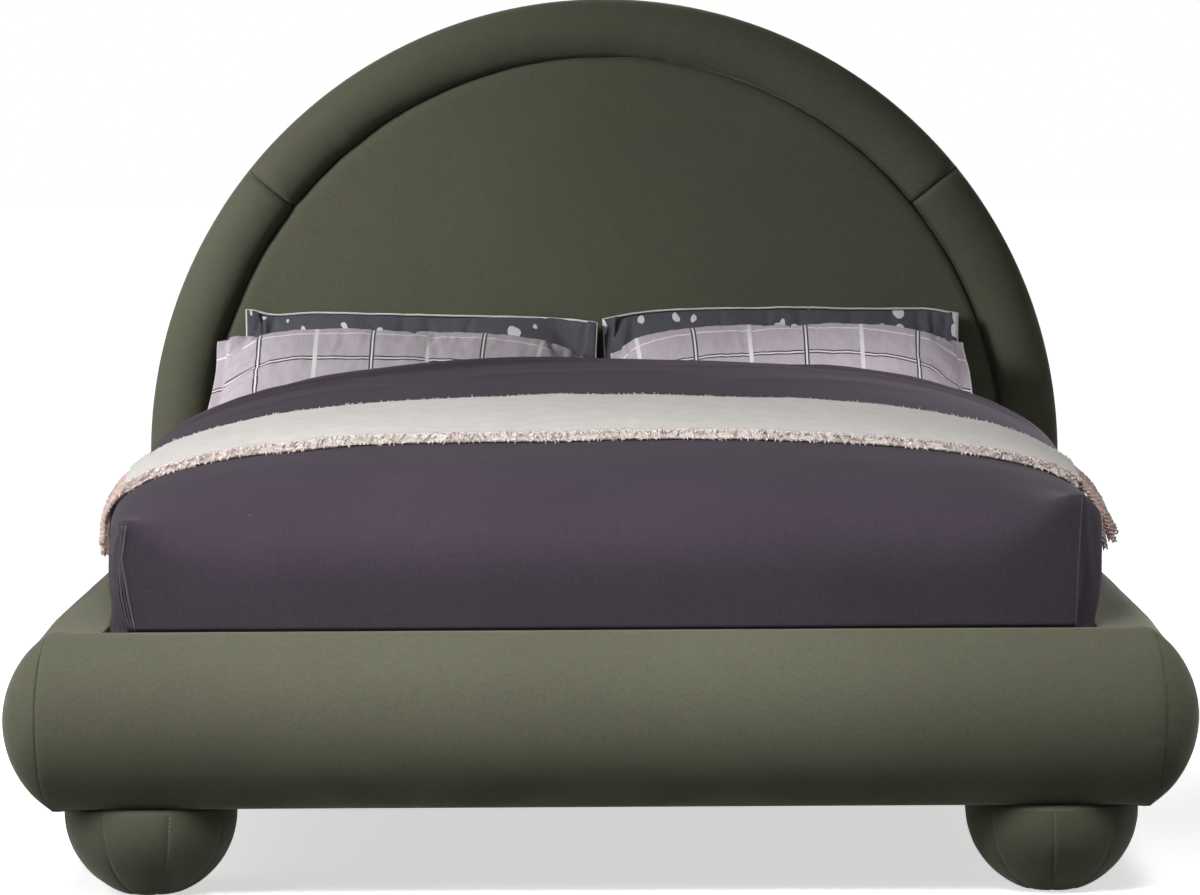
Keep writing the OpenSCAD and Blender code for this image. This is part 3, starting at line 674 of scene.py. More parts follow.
def grow_border(
    bm: Mesh, border: Sequence[Edge], step: Sequence[float] = (0.0, 0.0, 0.0)
) -> tuple[list[Vert], list[Edge]]:
    """Extrudes open edges.

    Args:
        bm: The mesh.
        border: The edges.
        step: How far the new ones are moved.

    Returns:
        The new vertices and the new edges.
    """
    grown = bmesh.ops.extrude_edge_only(bm, edges=border)["geom"]
    fresh = picked(grown, Vert)
    bmesh.ops.translate(bm, verts=fresh, vec=step)
    return fresh, picked(grown, Edge)


def grow_ring(bm: Mesh, ring: Sequence[Vert], border: Sequence[Edge]) -> tuple[list[Vert], list[Edge]]:
    """Extrudes a closed ring, and keeps the order of its vertices.

    Args:
        bm: The mesh.
        ring: The ring's vertices, in order.
        border: The ring's edges.

    Returns:
        The new ring's vertices in the same order, and its edges.
    """
    fresh, edges = grow_border(bm, border)
    fresh = set(fresh)
    return [next(e.other_vert(v) for e in v.link_edges if e.other_vert(v) in fresh) for v in ring], edges


def double_up(bm: Mesh, rise: float) -> None:
    """Makes two layers of a flat grid, rise apart, with a wall between them."""
    grown = bmesh.ops.extrude_face_region(bm, geom=list(bm.faces), use_keep_orig=True)["geom"]
    bmesh.ops.translate(bm, verts=picked(grown, Vert), vec=(0.0, 0.0, rise))


def take_in(bm: Mesh, made: Mesh) -> None:
    """Adds a second mesh, which is freed, to bm."""
    spare = bpy.data.meshes.new("spare")
    made.to_mesh(spare)
    made.free()
    bm.from_mesh(spare)
    bpy.data.meshes.remove(spare)


def add_tube(
    bm: Mesh, points: Sequence[Vector], radii: Sequence[float] | float, sides: int = 6
) -> None:
    """Adds a closed tube along points.

    Args:
        bm: The mesh to add to.
        points: The tube's middle line.
        radii: Its radius, or one for each point.
        sides: The number of its sides.
    """
    sizes = [radii] * len(points) if isinstance(radii, float) else list(radii)
    up = Vector((0.0, 0.0, 1.0))
    ring: list[Vert] = []
    border: list[Edge] = []
    for i, point in enumerate(points):
        along = (points[min(i + 1, len(points) - 1)] - points[max(i - 1, 0)]).normalized()
        if abs(along.dot(up)) > 0.9:
            up = Vector((0.0, 1.0, 0.0)) if abs(along.y) < 0.9 else Vector((1.0, 0.0, 0.0))
        side = along.cross(up).normalized()
        up = side.cross(along).normalized()
        if i == 0:
            ring = bmesh.ops.create_circle(bm, cap_ends=True, segments=sides, radius=1.0)["verts"]
            border = list(ring[0].link_faces[0].edges)
        else:
            ring, border = grow_ring(bm, ring, border)
        for n, vert in enumerate(ring):
            angle = 2 * math.pi * n / sides
            vert.co = point + (side * math.cos(angle) + up * math.sin(angle)) * sizes[i]
    bmesh.ops.contextual_create(bm, geom=ring)


def smooth_path(points: Sequence[Sequence[float]], steps: int) -> list[Vector]:
    """Runs a smooth curve through points.

    Args:
        points: The places that it passes.
        steps: The number of steps between two of them.

    Returns:
        The curve's points.
    """
    places = [Vector(p) for p in points]
    ends = [places[0] * 2 - places[1], *places, places[-1] * 2 - places[-2]]
    path = []
    for a, b, c, d in zip(ends, ends[1:], ends[2:], ends[3:]):
        for n in range(steps):
            t = n / steps
            cubic = (a * -1 + b * 3 - c * 3 + d) * t**3
            square = (a * 2 - b * 5 + c * 4 - d) * t**2
            path.append((cubic + square + (c - a) * t + b * 2) / 2)
    return [*path, places[-1]]


def billow(
    piece: bpy.types.Object, held: str, pressure: float, slack: float, cap: float, frames: int = 20
) -> None:
    """Lets a cover fill and crumple as cloth, and keeps the result in its mesh.

    Args:
        piece: The closed cover.
        held: The vertex group that stays in place.
        pressure: How hard the filling pushes.
        slack: How much longer the cloth is than its form, as a share.
        cap: The furthest that a point may move, in metres.
        frames: The number of steps in time.
    """
    scene = bpy.context.scene
    start = [v.co.copy() for v in piece.data.vertices]
    cloth = piece.modifiers.new("cloth", "CLOTH")
    rules = cloth.settings
    rules.quality = 6
    rules.mass = 0.25
    rules.tension_stiffness = rules.compression_stiffness = 22.0
    rules.shear_stiffness = 9.0
    rules.bending_stiffness = 0.12
    rules.tension_damping = rules.compression_damping = rules.shear_damping = 12.0
    rules.air_damping = 3.0
    rules.vertex_group_mass = held
    rules.pin_stiffness = 1.0
    rules.use_pressure = True
    rules.uniform_pressure_force = pressure
    rules.shrink_min = rules.shrink_max = -slack
    rules.effector_weights.gravity = 0.0
    cloth.collision_settings.use_collision = False
    cloth.point_cache.frame_start, cloth.point_cache.frame_end = 1, frames
    for frame in range(1, frames + 1):
        scene.frame_set(frame)
    ready = piece.evaluated_get(bpy.context.evaluated_depsgraph_get())
    moved = [v.co.copy() for v in ready.data.vertices]
    piece.modifiers.remove(cloth)
    scene.frame_set(1)
    for vert, before, after in zip(piece.data.vertices, start, moved):
        step = after - before
        if step.length > 1e-9:
            step *= cap * math.tanh(step.length / cap) / step.length
        vert.co = before + step
    LOG.info("%s: billowed over %d frames", piece.name, frames)


class Strands:
    """Many small closed pieces, such as cords and stitches, gathered in one mesh."""

    def __init__(self) -> None:
        """Starts with none."""
        self.bm = bmesh.new()
        self.spare = bpy.data.meshes.new("spare")
        self.shades: list[float] = []

    def take(self, small: Mesh, shade: float) -> None:
        """Adds a small mesh, which is freed, and notes its shade value: how dark its wool fleck is, or how
        strong the painted highlight on a duvet cord is.
        """
        self.shades += [shade] * len(small.verts)
        small.to_mesh(self.spare)
        small.free()
        self.bm.from_mesh(self.spare)

    def cord(
        self, points: Sequence[Vector], radii: Sequence[float] | float, sides: int = 5, shade: float = 0.0
    ) -> None:
        """Adds a cord along points."""
        small = bmesh.new()
        add_tube(small, points, radii, sides)
        self.take(small, shade)

    def stitches(
        self, path: Sequence[Vector], outward: Callable[[Vector], Vector], long: float, thick: float
    ) -> None:
        """Adds a row of stitches along a seam.

        Args:
            path: Points along the seam, each a stitch's middle.
            outward: Gives the direction out of the cloth at a point.
            long: Length of a stitch.
            thick: Its thickness.
        """
        for before, point, after in zip(path, path[1:], path[2:]):
            along = (after - before).normalized()
            side = along.cross(outward(point)).normalized()
            turn = Matrix((along, side, along.cross(side))).transposed().to_4x4()
            size = Matrix.Diagonal((long / 2, thick / 2, thick / 2, 1.0))
            small = bmesh.new()
            place = Matrix.Translation(point) @ turn @ size
            bmesh.ops.create_icosphere(small, subdivisions=1, radius=1.0, matrix=place)
            self.take(small, 0.0)

    def finish(self) -> Mesh:
        """Returns the gathered mesh, with each piece's shade value in the attribute named fleck: a darker fleck
        on wool, a painted highlight on the duvet's cords.
        """
        bpy.data.meshes.remove(self.spare)
        layer = self.bm.verts.layers.float.new("fleck")
        for vert, shade in zip(self.bm.verts, self.shades):
            vert[layer] = shade
        return self.bm


@dataclass
class Headboard:
    """The arched headboard: a padded roll in three lengths around a crowned panel, and a cover behind."""

    face_y: float = 1.0775
    back_y: float = 1.1725
    centre_z: float = 0.550
    radius: float = 0.884
    roll_half: float = 0.056
    roll_height: float = 0.045
    seam: float = math.radians(51.0)
    pad_bottom: float = 0.420
    cover_bottom: float = 0.142
    panel_radius: float = 0.7735
    panel_edge: float = 0.017
    panel_crown: float = 0.019
    heart_rise: float = 0.12
    least: float = 0.0005
    seam_gap: float = 0.0006
    # Width of the painted shade band along the seam between roll and panel.
    crease_shade: float = 0.0038
    section: int = 44
    top_steps: int = 190
    side_steps: int = 72
    leg_steps: int = 14
    panel_grid: tuple[int, int] = (240, 46)
    cover_rings: int = 300
    cover_heart: float = 0.62
    cover_wall: float = 0.0045
    cover_rows: Table = (
        (0.0, 0.0),
        (0.012, -0.0005),
        (0.045, -0.001),
        (0.078, 0.0),
        (0.088, 0.003),
        (0.0935, 0.0085),
        (0.095, 0.016),
        (0.095, 0.05),
        (0.0945, 0.14),
        (0.094, 0.28),
        (0.0939, 0.41),
    )
    cord: float = 0.0028
    cord_inset: float = 0.0035
    cord_drop: float = 0.004
    cord_steps: int = 220
    arch_share: float = 0.80

    def outline(self, share: float, radius: float, bottom: float) -> Vector:
        """Returns a point of the arch's outline.

        Args:
            share: How far round it lies, from 0 at the bottom left, over the top, and back there at 1.
            radius: The arch's radius.
            bottom: The height of its foot.

        Returns:
            The point in the plane of the headboard, as X and Z.
        """
        leg = self.centre_z - bottom
        lengths = (leg, math.pi * radius, leg, 2 * radius)
        left = share * sum(lengths)
        if left <= lengths[0]:
            return Vector((-radius, bottom + left))
        left -= lengths[0]
        if left <= lengths[1]:
            angle = math.pi - left / radius
            return Vector((radius * math.cos(angle), self.centre_z + radius * math.sin(angle)))
        left -= lengths[1]
        if left <= lengths[2]:
            return Vector((radius, self.centre_z - left))
        return Vector((radius - (left - lengths[2]), bottom))

    def roll_section(self, bm: Mesh) -> list[Vert]:
        """Adds the roll's section upright over the arch's centre and returns its vertices."""
        middle = self.radius - self.roll_half
        verts = bmesh.ops.create_circle(bm, segments=self.section, radius=1.0)["verts"]
        for vert in verts:
            angle = math.atan2(vert.co.y, vert.co.x)
            rise = math.sin(angle)
            height = self.roll_height * rise**0.92 if rise > 1e-6 else self.least
            up = self.centre_z + middle + math.cos(angle) * self.roll_half
            vert.co = Vector((0.0, self.face_y - max(height, self.least), up))
        return verts

    def spin(self, bm: Mesh, start: float, end: float, steps: int) -> None:
        """Turns the open section from one angle to another about the arch's centre."""
        centre = Vector((0.0, self.face_y, self.centre_z))
        verts = self.roll_section(bm)
        bmesh.ops.rotate(bm, verts=verts, cent=centre, matrix=Matrix.Rotation(start, 3, "Y"))
        edges = [e for e in bm.edges if all(v in verts for v in e.verts)]
        bmesh.ops.spin(
            bm, geom=[*verts, *edges], cent=centre, axis=(0.0, 1.0, 0.0), angle=end - start, steps=steps
        )

    def pinch(self, place: Vector) -> Vector:
        """Draws the roll in at its seams and gives it the small gathers of bent padding.

        Args:
            place: A point of the even roll.

        Returns:
            Where that point goes.
        """
        if place.z >= self.centre_z:
            angle = math.atan2(place.x, place.z - self.centre_z)
            out = Vector((math.sin(angle), 0.0, math.cos(angle)))
            reach = math.hypot(place.x, place.z - self.centre_z)
        else:
            angle = math.copysign(math.pi / 2 + (self.centre_z - place.z) / self.radius, place.x)
            out = Vector((math.copysign(1.0, place.x), 0.0, 0.0))
            reach = abs(place.x)
        aside = reach - (self.radius - self.roll_half)
        height = self.face_y - place.y
        if height < 0.002:
            return place
        normal = out * (aside / self.roll_half**2) - Vector((0.0, height / self.roll_height**2, 0.0))
        normal.normalize()
        gap = (abs(angle) - self.seam) * self.radius
        inner = clamp(0.5 - aside / (2 * self.roll_half))
        depth = -0.0050 * bump(gap, 0.004) - 0.0016 * bump(gap, 0.018)
        depth += 0.0011 * bump(gap, 0.05) * rough(aside * 90.0, 27.0, angle * 36.0)
        depth += 0.0016 * inner * rough(angle * 26.0, aside * 9.0, 2.0)
        depth += 0.0022 * rough(angle * 5.0, aside * 14.0, 7.0) * clamp(height / 0.02)
        return place + normal * depth

    def paint_crease_shade(self, bm: Mesh) -> None:
        """Paints shade along the line where roll and panel meet: each vertex notes how near it lies to that
        line, and the velvet is darkened there.
        """
        layer = bm.verts.layers.float.new("crease_shade")
        for vert in bm.verts:
            up = vert.co.z - self.centre_z
            reach = math.hypot(vert.co.x, up) if up > 0 else abs(vert.co.x)
            vert[layer] = bump(reach - self.panel_radius, self.crease_shade)

    def build_rolls(self, wardrobe: Wardrobe) -> None:
        """Builds the roll's three lengths.

        Args:
            wardrobe: The bed's finishes.
        """
        bm = bmesh.new()
        self.spin(bm, self.seam_gap - self.seam, self.seam - self.seam_gap, self.top_steps)
        close_holes(bm)
        move_all(bm, self.pinch)
        self.paint_crease_shade(bm)
        top = make_piece(bm, Label("roll_top", "frame", "velvet", ("headboard_roll_top",)), wardrobe.velvet)
        for side, sign in SIDES:
            bm = bmesh.new()
            self.spin(bm, self.seam + self.seam_gap, math.pi / 2, self.side_steps)
            level = {v for v in bm.verts if abs(v.co.z - self.centre_z) < 1e-4}
            open_end = [e for e in bm.edges if e.is_boundary and level.issuperset(e.verts)]
            step = (self.centre_z - self.pad_bottom) / self.leg_steps
            for _ in range(self.leg_steps):
                _, open_end = grow_border(bm, open_end, (0.0, 0.0, -step))
            close_holes(bm)
            if sign < 0:
                bmesh.ops.scale(bm, verts=bm.verts, vec=(-1.0, 1.0, 1.0))
            move_all(bm, self.pinch)
            self.paint_crease_shade(bm)
            label = Label(f"roll_{side}", "frame", "velvet", (f"headboard_roll_{side}",))
            make_piece(bm, label, wardrobe.velvet)

    def panel_place(self, place: Vector) -> Vector:
        """Lays a grid of rings, Y from the middle to the edge, over the crowned panel.

        Args:
            place: A point of the flat grid, from 0 to 1 both ways.

        Returns:
            Where that point goes.
        """
        rim = self.outline(place.x, self.panel_radius, self.pad_bottom)
        heart = Vector((0.0, self.centre_z + self.heart_rise))
        share = 1 - (1 - place.y) ** 1.6
        flat = heart + (rim - heart) * share
        edge = (rim - flat).length
        turned = clamp(edge / 0.030)
        height = self.panel_edge * (1 - (1 - turned) ** 2.6) ** (1 / 2.4)
        height += self.panel_crown * (1 - (abs(flat.x) / self.panel_radius) ** 2) * (1 - share**2) ** 0.8
        height += 0.0012 * rough(flat.x * 3.0, flat.y * 3.0, 1.0) * turned
        height += 0.0007 * bump(edge - 0.02, 0.02) * rough(place.x * 260.0, 0.0, edge * 30.0)
        return Vector((flat.x, self.face_y - max(height, 0.0006), flat.y))

    def build_panel(self, wardrobe: Wardrobe) -> None:
        """Builds the inner panel."""
        bm = make_grid(*self.panel_grid)
        move_all(bm, self.panel_place)
        self.paint_crease_shade(bm)
        bmesh.ops.remove_doubles(bm, verts=bm.verts, dist=1e-5)
        close_holes(bm)
        label = Label("headboard_pad", "frame", "velvet", ("headboard_panel",))
        make_piece(bm, label, wardrobe.velvet)

    def build_back(self, wardrobe: Wardrobe) -> None:
        """Builds the cover over the headboard's rim and back, with its corded edge, in closing rings.

        Args:
            wardrobe: The bed's finishes.
        """
        heart = Vector((0.0, self.cover_heart))
        bm = bmesh.new()
        bmesh.ops.create_circle(bm, segments=self.cover_rings, radius=1.0)
        ring, border = list(bm.verts), list(bm.edges)
        for n, (back, inset) in enumerate(self.cover_rows):
            if n:
                ring, border = grow_ring(bm, ring, border)
            for i, vert in enumerate(ring):
                rim = self.outline(i / self.cover_rings, self.radius, self.cover_bottom)
                flat = rim + (heart - rim) * (inset / (heart - rim).length)
                vert.co = Vector((flat.x, self.face_y + back, flat.y))
        bmesh.ops.contextual_create(bm, geom=border)
        label = Label("headboard_cover", "frame", "velvet", ("headboard_back_cover",))
        make_piece(bm, label, wardrobe.velvet, wall=self.cover_wall)
        self.build_cord(wardrobe)

    def build_cord(self, wardrobe: Wardrobe) -> None:
        """Builds the cord round the arch's back edge."""
        bm = bmesh.new()
        points = []
        for i in range(self.cord_steps + 1):
            share = i / self.cord_steps * self.arch_share
            rim = self.outline(share, self.radius - self.cord_inset, self.cover_bottom)
            points.append(Vector((rim.x, self.back_y - self.cord_drop, rim.y)))
        add_tube(bm, points, self.cord)
        make_piece(bm, Label("back_cord", "frame", "velvet"), wardrobe.velvet)

    def build(self, wardrobe: Wardrobe) -> None:
        """Builds the whole headboard."""
        self.build_rolls(wardrobe)
        self.build_panel(wardrobe)
        self.build_back(wardrobe)


@dataclass
class Rails:
    """The bolster rails: two sides that turn the corner at the foot, and the foot rail between them."""

    inner_x: float = 0.777
    flat_x: float = 0.851
    bulge: float = 0.074
    flat_y: float = -1.0985
    head_y: float = 1.0770
    low: float = 0.142
    high: float = 0.418
    lip: float = 0.011
    fall: float = 0.0075
    soft: float = 0.008
    seam_bow: float = 0.017
    crown: float = 0.010
    crown_start: float = 0.35
    arc_length: float = 0.345
    corner: float = 0.16
    spacing: float = 1.35
    least: float = 0.004
    wall: float = 0.004
    end_rows: tuple[float, float] = (0.985, 0.90)
    rows: int = 60
    foot_columns: int = 190
    side_columns: int = 200
    stitches: int = 58
    stitch_size: tuple[float, float] = (0.0028, 0.0013)
    stitch_gap: float = 0.0022

    def profile(self, share: float) -> tuple[float, float]:
        """Reads the rail's section.

        Args:
            share: How far round it lies, from the inner lip below, over the outside, to the inner lip above.

        Returns:
            The distance out from the flat's edge, and the height.
        """
        flat = self.flat_x - self.inner_x
        half = (self.high - self.low) / 2
        radius = (half**2 + self.bulge**2) / (2 * self.bulge)
        sweep = math.asin(half / radius)
        arc = 2 * sweep * radius
        lengths = (self.lip, flat, arc, flat, self.lip)
        left = share * sum(lengths)
        middle = (self.high + self.low) / 2
        if left <= lengths[0]:
            return -flat, self.low + self.lip - left
        left -= lengths[0]
        if left <= lengths[1]:
            return left - flat, self.low
        left -= lengths[1]
        if left <= lengths[2]:
            angle = -sweep + left / radius
            return self.bulge - radius + radius * math.cos(angle), middle + radius * math.sin(angle)
        left -= lengths[2]
        if left <= lengths[3]:
            return -left, self.high - self.fall * ease(left / flat)
        left -= lengths[3]
        return -flat, self.high - self.fall - left * 0.35

    def soft_profile(self, share: float) -> tuple[float, float]:
        """Reads the section with its corners rounded, as padding leaves them."""
        flat = self.flat_x - self.inner_x
        total = 2 * (self.lip + flat) + self.arc_length
        reach = self.soft / total
        places = [clamp(share + reach * k) for k in (-1.0, -0.5, 0.0, 0.5, 1.0)]
        points = [self.profile(p) for p in places]
        return sum(p[0] for p in points) / len(points), sum(p[1] for p in points) / len(points)

    def bow(self, depth: float) -> float:
        """Returns how far past the corner's start the upright seam lies, where the section is depth deep."""
        return self.seam_bow * clamp(depth / self.bulge) ** 0.45 if depth > 0 else 0.0

    def sag(self, along: float, height: float, seam_gap: float, depth: float) -> float:
        """Returns how far the cloth stands off its even form.

        Args:
            along: Distance along the rail.
            height: Height above the floor.
            seam_gap: Distance to the nearest upright seam.
            depth: Depth of the section there.

        Returns:
            The distance outwards.
        """
        if depth <= 0:
            return 0.0
        off = -0.0006 * bump(seam_gap, 0.0022) - 0.0010 * bump(seam_gap, 0.012)
        off += 0.0014 * bump(seam_gap, 0.030) * rough(height * 85.0, seam_gap * 12.0, along)
        off += 0.0016 * rough(along * 5.0, height * 9.0, 4.0)
        rim = min(height - self.low, self.high - height)
        off += 0.0012 * bump(rim - 0.012, 0.012) * rough(along * 24.0, rim * 30.0, 8.0)
        return off * clamp(depth / 0.02)

    def sunk(self, depth: float, gap: float) -> float:
        """Returns how far the flat top is drawn down where two covers meet on the slant, gap away."""
        return 0.0034 * bump(gap, 0.0040) if depth < 0 else 0.0

    def foot_place(self, place: Vector) -> Vector:
        """Lays a grid over the foot rail: X from left to right and Y round the section.

        Args:
            place: A point of the flat grid, from 0 to 1 both ways.

        Returns:
            Where that point goes.
        """
        across = math.copysign(1 - (1 - abs(2 * place.x - 1)) ** 1.5, place.x - 0.5)
        depth, height = self.soft_profile(place.y)
        reach = self.flat_x + (depth if depth < 0 else self.bow(depth))
        along = across * reach
        off = self.sag(along, height, reach - abs(along), depth)
        turn = max(0.0, abs(along) - self.flat_x) / max(depth, self.least)
        out = depth + off
        base = min(abs(along), self.flat_x)
        x = base + out * math.sin(turn) if turn else abs(along)
        height -= self.sunk(depth, reach - abs(along))
        return Vector((math.copysign(x, along), self.flat_y - out * math.cos(turn), height))

    def side_place(self, place: Vector) -> Vector:
        """Lays a grid over the right-hand side rail: X from seam to headboard and Y round the section.

        Args:
            place: A point of the flat grid, from 0 to 1 both ways.

        Returns:
            Where that point goes.
        """
        depth, height = self.soft_profile(place.y)
        seam_turn = self.bow(depth) / max(depth, self.least) if depth > 0 else 0.0
        if place.x < self.corner:
            turn = mix(seam_turn, math.pi / 2, (place.x / self.corner) ** self.spacing)
            gap = max(0.0, (turn - seam_turn) * depth)
            if depth <= 0:
                return Vector((self.flat_x + depth, self.flat_y - depth, height - self.sunk(depth, 0.0)))
            out = depth + self.sag(gap, height, gap, depth)
            return Vector((self.flat_x + out * math.sin(turn), self.flat_y - out * math.cos(turn), height))
        start = self.flat_y - min(depth, 0.0)
        share = ((place.x - self.corner) / (1 - self.corner)) ** self.spacing
        y = mix(start, self.head_y, share)
        gap = (math.pi / 2 - seam_turn) * max(depth, 0.0) + y - start
        height -= self.sunk(depth, y - start)
        if height > (self.low + self.high) / 2:
            height += self.crown * bump(depth - 0.004, 0.045) * ease((y - start) / self.crown_start)
        return Vector((self.flat_x + depth + self.sag(y, height, gap, depth), y, height))

    def close_end(self, bm: Mesh) -> None:
        """Turns the cover in over the rail's end at the headboard: a close row keeps the corner firm.

        Args:
            bm: The open cover, in place.
        """
        middle = Vector((mix(self.inner_x, self.flat_x, 0.5), self.head_y, (self.low + self.high) / 2))
        rim = [e for e in bm.edges if e.is_boundary and all(v.co.y > self.head_y - 1e-5 for v in e.verts)]
        for share in self.end_rows:
            fresh, rim = grow_border(bm, rim)
            for vert in fresh:
                vert.co = middle + (vert.co - middle) * share
        tips = [v for e in rim for v in e.verts if sum(other in rim for other in v.link_edges) == 1]
        rim += bmesh.ops.contextual_create(bm, geom=tips)["edges"]
        bmesh.ops.contextual_create(bm, geom=rim)

    def seam_stitches(self, wardrobe: Wardrobe) -> None:
        """Builds the stitches down the two upright seams."""
        threads = Strands()
        for _, sign in SIDES:
            path = []
            for n in range(self.stitches):
                depth, height = self.soft_profile(mix(0.265, 0.735, n / (self.stitches - 1)))
                turn = (self.bow(depth) + self.stitch_gap) / max(depth, self.least)
                out = depth - 0.0002
                x = self.flat_x + out * math.sin(turn)
                path.append(Vector((sign * x, self.flat_y - out * math.cos(turn), height)))
            middle = Vector((sign * self.flat_x * 0.97, self.flat_y + 0.10, 0.280))
            threads.stitches(path, lambda p, m=middle: p - m, *self.stitch_size)
        make_piece(threads.finish(), Label("rail_stitches", "frame", "velvet"), wardrobe.thread)

    def build(self, wardrobe: Wardrobe) -> None:
        """Builds the three covers and their stitches.

        Args:
            wardrobe: The bed's finishes.
        """
        bm = make_grid(self.foot_columns, self.rows)
        move_all(bm, self.foot_place)
        label = Label("foot_bolster", "frame", "velvet", ("foot_rail_cover",))
        make_piece(bm, label, wardrobe.velvet, levels=1, wall=self.wall)
        for side, sign in SIDES:
            bm = make_grid(self.side_columns, self.rows)
            move_all(bm, self.side_place)
            bmesh.ops.remove_doubles(bm, verts=bm.verts, dist=1e-5)
            self.close_end(bm)
            if sign < 0:
                bmesh.ops.scale(bm, verts=bm.verts, vec=(-1.0, 1.0, 1.0))
            label = Label(f"side_bolster_{side}", "frame", "velvet", (f"side_rail_cover_{side}",))
            make_piece(bm, label, wardrobe.velvet, levels=1, wall=self.wall)
        self.seam_stitches(wardrobe)


@dataclass
class BallFeet:
    """The four upholstered ball feet, each sewn from eight gores."""

    radius: float = 0.1355
    flat: float = 0.0075
    top: float = 0.142
    x: float = 0.706
    front_y: float = -0.9875
    back_y: float = 1.0315
    gores: int = 8
    turns: dict[str, float] = field(default_factory=lambda: {"left": 16.0, "right": -3.0})
    around: int = 256
    upwards: int = 72
    cap_inset: float = 0.0085
    sink: float = 0.005
    sink_from: float = 0.1285
    stitches: int = 27
    stitch_size: tuple[float, float] = (0.0036, 0.0014)
    stitch_depth: float = 0.0012
    stitch_turn: float = 0.018

    def shape(self, place: Vector, first: float) -> Vector:
        """Draws a ball's surface in along its seams and flattens it where it stands.

        Args:
            place: A point of the even ball, which stands at the origin.
            first: The angle of its first seam.

        Returns:
            Where that point goes.
        """
        centre = Vector((0.0, 0.0, self.radius - self.flat))
        out = place - centre
        if Vector((out.x, out.y)).length < 1e-6:
            return Vector((place.x, place.y, max(place.z, 0.0)))
        angle = math.atan2(out.x, -out.y) - first
        step = 2 * math.pi / self.gores
        gap = abs((angle + step / 2) % step - step / 2) * Vector((out.x, out.y)).length
        size = 1 - 0.013 * bump(gap, 0.0022) - 0.003 * bump(gap, 0.009)
        size += 0.004 * bump(gap, 0.03) * noise.noise(out * 45.0) + 0.005 * noise.noise(out * 11.0)
        moved = centre + out * size
        rim = clamp((self.top - place.z) / 0.012)
        reach = Vector((out.x, out.y)).length
        sink = self.sink * clamp((reach - self.sink_from) / (self.radius - self.sink_from)) ** 2 * (1 - rim)
        moved.z = max(mix(place.z, moved.z, rim) - sink, 0.0)
        return moved

    def build(self, wardrobe: Wardrobe) -> None:
        """Builds the four feet and the stitches on their seams.

        Args:
            wardrobe: The bed's finishes.
        """
        threads = Strands()
        for end, y in (("front", self.front_y), ("back", self.back_y)):
            for side, sign in SIDES:
                first = math.radians(self.turns[side])
                at = Vector((sign * self.x, y, 0.0))
                bm = bmesh.new()
                lift = Matrix.Translation((0.0, 0.0, self.radius - self.flat))
                bmesh.ops.create_uvsphere(
                    bm,
                    u_segments=self.around,
                    v_segments=self.upwards,
                    radius=self.radius,
                    matrix=lift @ Matrix.Rotation(first, 4, "Z"),
                )
                bmesh.ops.bisect_plane(
                    bm,
                    geom=[*bm.verts, *bm.edges, *bm.faces],
                    plane_co=(0.0, 0.0, self.top + 0.0005),
                    plane_no=(0.0, 0.0, 1.0),
                    clear_outer=True,
                )
                close_holes(bm)
                cap = [f for f in bm.faces if len(f.verts) > self.gores]
                bmesh.ops.inset_region(bm, faces=cap, thickness=self.cap_inset)
                move_all(bm, lambda p, f=first: self.shape(p, f))
                bmesh.ops.translate(bm, verts=bm.verts, vec=at)
                label = Label(f"ball_{end}_{side}", "frame", "velvet", (f"foot_cover_{end}_{side}",))
                make_piece(bm, label, wardrobe.velvet)
                self.stitch(threads, at, first)
        make_piece(threads.finish(), Label("ball_stitches", "frame", "velvet"), wardrobe.pale_thread)

    def stitch(self, threads: Strands, at: Vector, first: float) -> None:
        """Adds the stitches along one foot's seams."""
        centre = at + Vector((0.0, 0.0, self.radius - self.flat))
        radius = self.radius - self.stitch_depth
        for n in range(self.gores):
            angle = first + n * 2 * math.pi / self.gores + self.stitch_turn
            path = []
            for k in range(self.stitches):
                drop = math.radians(mix(-4.0, 66.0, k / (self.stitches - 1)))
                reach = radius * math.cos(drop)
                low = -radius * math.sin(drop)
                path.append(centre + Vector((reach * math.sin(angle), -reach * math.cos(angle), low)))
            threads.stitches(path, lambda p: p - centre, *self.stitch_size)


